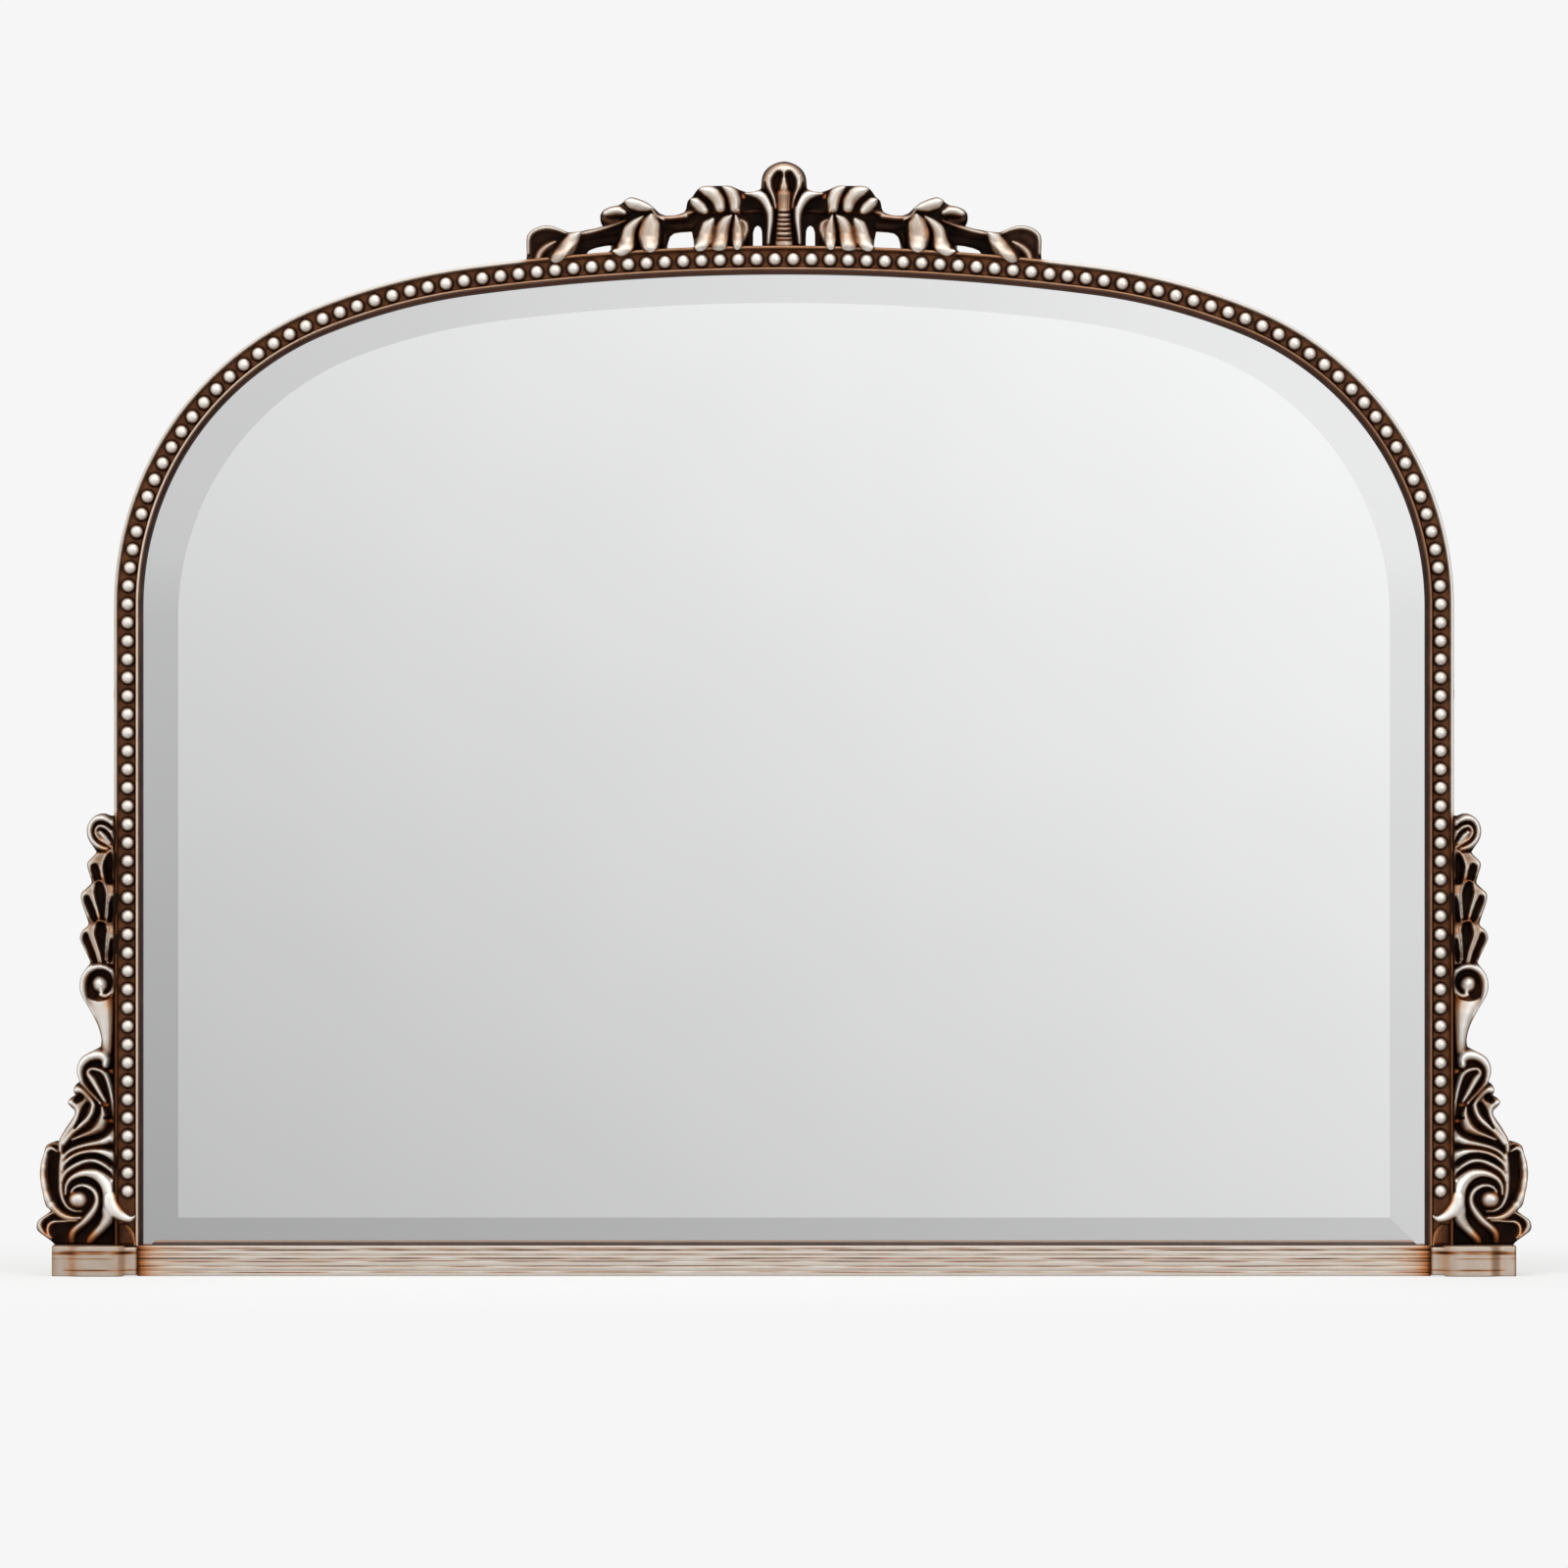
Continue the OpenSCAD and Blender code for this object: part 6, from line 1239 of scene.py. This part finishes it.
def fine_material(name, colour, rough, metallic, stretch, scale, spread, depth):
    """A plain finish with its own grain: its colour darkened and lightened by noise stretched along an axis."""
    m, tree, shader, vector = material(name)
    grain = node(tree, "ShaderNodeMapping", {"Vector": vector, "Scale": stretch}).outputs[0]
    fine = noise(tree, grain, scale, 5.0, 0.65)
    both = plus(tree, times(tree, fine, 0.6), times(tree, noise(tree, grain, scale / 9, 2.0), 0.4))
    dark, light = (tuple(min(v * share, 1) for v in linear(*colour)[:3]) + (1,) for share in (1 - spread, 1 + spread))
    feed(tree, shader, {"Base Color": ramp(tree, both, [(0.3, dark), (0.7, light)]),
                        "Roughness": ranged(tree, fine, 0.3, 0.7, rough - 0.07, rough + 0.07),
                        "Metallic": metallic, "Normal": bump(tree, both, 0.5, depth)})
    return m


def mirror_material(name, tone):
    """Silvered glass: a bright metal whose roughness clouds very slightly, its colour darkened to a share of tone,
    which paints shade on the bevel.
    """
    m, tree, shader, vector = material(name)
    cloud = noise(tree, vector, 6.0, 2.0)
    stops = [(stop, finish_colour("silvering", share * tone)) for stop, share in ((0.35, 0.985), (0.65, 1.0))]
    feed(tree, shader, {"Base Color": ramp(tree, cloud, stops), "Metallic": 1.0,
                        "Roughness": ranged(tree, cloud, 0.3, 0.7, 0.02, 0.035)})
    return m


class MIRROR_OT_frame_finishes(bpy.types.Operator):
    """Gives the frame's remaining parts their finishes: carved grounds, back board and fittings"""
    bl_idname = "mirror.frame_finishes"
    bl_label = "Grounds, Back and Fittings"

    def execute(self, context):
        # the ground behind the pierced carving is dark partly as patina, partly as painted shade
        ground = leaf_material("ground_patina", tone=GROUND_PATINA_AND_SHADE, clouding=0.8, copper=0.7)
        finishes = [(ground, ("side_ground_left", "side_ground_right", "crest_ground"))]
        finishes += [(fine_material(name, *finish), parts) for name, (*finish, parts) in PART_FINISHES.items()]
        for mat, parts in finishes:
            for part in parts:
                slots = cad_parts[part].data.materials
                slots.clear()
                slots.append(mat)
        return {"FINISHED"}


# The studio's lights: place in metres, turn in degrees, size in metres and power in watts
LIGHTS = {"key_light": ((-1.9, -2.6, 2.3), (52, 0, -36), 1.6, 46),
          "fill_light": ((2.3, -2.8, 1.0), (78, 0, 40), 1.8, 20),
          "top_light": ((0.2, -0.7, 2.5), (14, 0, 0), 1.6, 14)}


class MIRROR_OT_studio(bpy.types.Operator):
    """Makes the pale floor, the soft light and the camera at the photograph's angle"""
    bl_idname = "mirror.studio"
    bl_label = "Floor, Light and Camera"

    def execute(self, context):
        self.floor()
        self.world(context.scene)
        for name, (place, turn, size, power) in LIGHTS.items():
            light = bpy.data.lights.new(name, "AREA")
            light.energy, light.size = power, size
            lamp = new_object(name, light)
            lamp.location = place
            lamp.rotation_euler = [math.radians(a) for a in turn]
            lamp.visible_glossy = name != "key_light"
        camera = bpy.data.cameras.new("camera")
        camera.lens, camera.sensor_width, camera.clip_end = 200, 36, 50
        view = new_object("camera", camera)
        view.location = (0, CAMERA_Y, CAMERA_Z)
        view.rotation_euler = (math.pi / 2, 0, 0)
        context.scene.camera = view
        context.scene.view_settings.view_transform = "Standard"
        return {"FINISHED"}

    def floor(self):
        """A sheet of paper that takes the shadow near the object and fades into the backdrop away from it."""
        mesh = bpy.data.meshes.new("floor")
        mesh.from_pydata([(-12, -9, 0), (12, -9, 0), (12, 12, 0), (-12, 12, 0)], [], [(0, 1, 2, 3)])
        obj = new_object("floor", mesh)
        obj.visible_glossy = False
        m, tree, shader, vector = material("floor_paper")
        paper = ramp(tree, noise(tree, vector, 14.0, 4.0), [(0.3, linear(244, 244, 243)), (0.7, linear(247, 247, 246))])
        feed(tree, shader, {"Base Color": paper, "Roughness": 0.9})
        plain = node(tree, "ShaderNodeEmission", {"Color": finish_colour("backdrop")})
        x, y = node(tree, "ShaderNodeSeparateXYZ", {0: vector}).outputs[:2]
        # the distance from the line that the object stands on, 0.6 m to each side
        aside = maths(tree, "MAXIMUM", minus(tree, maths(tree, "ABSOLUTE", x), 0.6), 0.0)
        away = ranged(tree, length_of(tree, aside, y), 0.04, 0.6, 0.62, 1.0, smooth=True)
        ray = node(tree, "ShaderNodeLightPath").outputs
        seen = maths(tree, "MAXIMUM", times(tree, ray["Is Camera Ray"], away), ray["Is Transmission Ray"])
        mixed = node(tree, "ShaderNodeMixShader", {0: seen, 1: shader.outputs[0], 2: plain.outputs[0]})
        feed(tree, tree.nodes["Material Output"], {"Surface": mixed.outputs[0]})
        mesh.materials.append(m)

    def world(self, scene):
        """Backdrop for the camera, a gradient across the room for reflections and a soft grey for light."""
        world = bpy.data.worlds.new("studio")
        scene.world = world
        world.use_nodes = True
        tree = world.node_tree
        tree.nodes.clear()
        direction = node(tree, "ShaderNodeTexCoord").outputs["Generated"]
        x, y, z = node(tree, "ShaderNodeSeparateXYZ", {0: direction}).outputs
        # what the glass shows to the camera: lighter to the right and upwards, flatter past its edges
        pane = plus(tree, times(tree, plus(tree, x, z), 0.25), 0.735, ranged(tree, x, -0.075, 0.075, -0.094, 0.094),
                    ranged(tree, z, -0.055, 0.06, -0.107, 0.117))
        # what the leaf shows elsewhere: light from above and the left, dark below
        lit = plus(tree, times(tree, x, -0.35), times(tree, z, 0.85), times(tree, y, -0.35))
        lit = ranged(tree, lit, -0.55, 0.8, 0.2, 1.25)
        front = ranged(tree, y, -0.87, -0.945, smooth=True)
        bright = plus(tree, times(tree, pane, front), times(tree, lit, minus(tree, 1.0, front)))
        room = node(tree, "ShaderNodeCombineColor", {0: bright, 1: bright, 2: bright}).outputs[0]
        ray = node(tree, "ShaderNodeLightPath").outputs
        seen = mix_colour(tree, ray["Is Glossy Ray"], (0.62, 0.62, 0.62, 1), room)
        straight = maths(tree, "MAXIMUM", ray["Is Camera Ray"], ray["Is Transmission Ray"])
        shown = mix_colour(tree, straight, seen, finish_colour("backdrop"))
        background = node(tree, "ShaderNodeBackground", {"Color": shown})
        node(tree, "ShaderNodeOutputWorld", {"Surface": background.outputs[0]})


def length_property(name, description, default):
    return bpy.props.FloatProperty(name=name, description=description, default=default, unit="LENGTH", precision=4)


def colour_property(name, description, default):
    return bpy.props.FloatVectorProperty(name=name, description=description, default=default[:3], size=3, min=0, max=1,
                                         subtype="COLOR")


class MirrorSizes(bpy.types.PropertyGroup):
    bead_radius: length_property("Bead Radius", "Radius of one bead", 0.00565)
    bead_height: length_property("Bead Height", "How far a bead stands above the channel floor", 0.0077)
    beads_per_side: bpy.props.IntProperty(name="Beads per Side", description="Number of beads on each half",
                                          default=78, min=10)
    reed_count: bpy.props.IntProperty(name="Reeds", description="Number of reeds on the base rail", default=6, min=1)
    reed_depth: length_property("Reed Depth", "Depth of the reeds on the base rail", 0.0004)
    bevel_width: length_property("Bevel Width", "Width of the bevel of the glass", 0.034)
    # the bevel's silvering painted darker than the field's, as shade
    bevel_shade: bpy.props.FloatProperty(name="Bevel Tone", description="Brightness of the bevel beside the field",
                                        default=0.81, min=0, max=1, subtype="FACTOR")
    carving_step: length_property("Carving Step", "Grid size of the carved surfaces", 0.00045)


class MirrorFinish(bpy.types.PropertyGroup):
    # the tone that picks among these colours carries painted shade towards recess and painted highlight towards ridge,
    # besides patina and rubbed leaf; copper also colours painted glints
    recess: colour_property("Recess", "Patina in the deepest recesses", linear(13, 5, 2))
    umber: colour_property("Umber", "Patina in the grooves", linear(42, 20, 9))
    brown: colour_property("Brown", "Warm brown on the flanks", linear(92, 58, 35))
    taupe: colour_property("Taupe", "Dull leaf between grooves and ridges", linear(155, 127, 104))
    pewter: colour_property("Pewter", "Worn silver leaf", linear(197, 183, 169))
    leaf: colour_property("Leaf", "Silver leaf of the broad surfaces", linear(219, 212, 204))
    ridge: colour_property("Ridge", "Rubbed leaf on the ridges", linear(243, 239, 233))
    bronze: colour_property("Bronze", "Bole in the shade", linear(98, 50, 20))
    copper: colour_property("Copper", "Copper bole that shows through the leaf", linear(196, 120, 60))
    gold: colour_property("Gold", "Bole under thin leaf", linear(232, 182, 132))
    silvering: colour_property("Silvering", "Silver behind the mirror glass", (0.985, 0.99, 0.99))
    backdrop: colour_property("Backdrop", "Pale background", linear(246, 246, 246))


class MIRROR_PT_panel(bpy.types.Panel):
    bl_label = "Arched Mirror"
    bl_idname = "MIRROR_PT_panel"
    bl_space_type = "VIEW_3D"
    bl_region_type = "UI"
    bl_category = "Mirror"

    def draw(self, context):
        for group in (context.scene.mirror_sizes, context.scene.mirror_finish):
            box = self.layout.box()
            for key in group.__annotations__:
                box.prop(group, key)
        for operator in OPERATORS:
            self.layout.operator(operator.bl_idname)


OPERATORS = (MIRROR_OT_mouldings, MIRROR_OT_beads, MIRROR_OT_base, MIRROR_OT_glass, MIRROR_OT_side_carving,
             MIRROR_OT_crest_carving, MIRROR_OT_frame_finishes, MIRROR_OT_studio)
CLASSES = (MirrorSizes, MirrorFinish, MIRROR_PT_panel) + OPERATORS


def register():
    for cls in CLASSES:
        bpy.utils.register_class(cls)
    bpy.types.Scene.mirror_sizes = bpy.props.PointerProperty(type=MirrorSizes)
    bpy.types.Scene.mirror_finish = bpy.props.PointerProperty(type=MirrorFinish)


def unregister():
    del bpy.types.Scene.mirror_finish
    del bpy.types.Scene.mirror_sizes
    for cls in reversed(CLASSES):
        bpy.utils.unregister_class(cls)


def main():
    register()
    bpy.ops.mirror.mouldings()
    bpy.ops.mirror.beads()
    bpy.ops.mirror.base()
    bpy.ops.mirror.glass()
    bpy.ops.mirror.side_carving()
    bpy.ops.mirror.crest_carving()
    bpy.ops.mirror.frame_finishes()
    bpy.ops.mirror.studio()


if __name__ == "__main__":
    main()
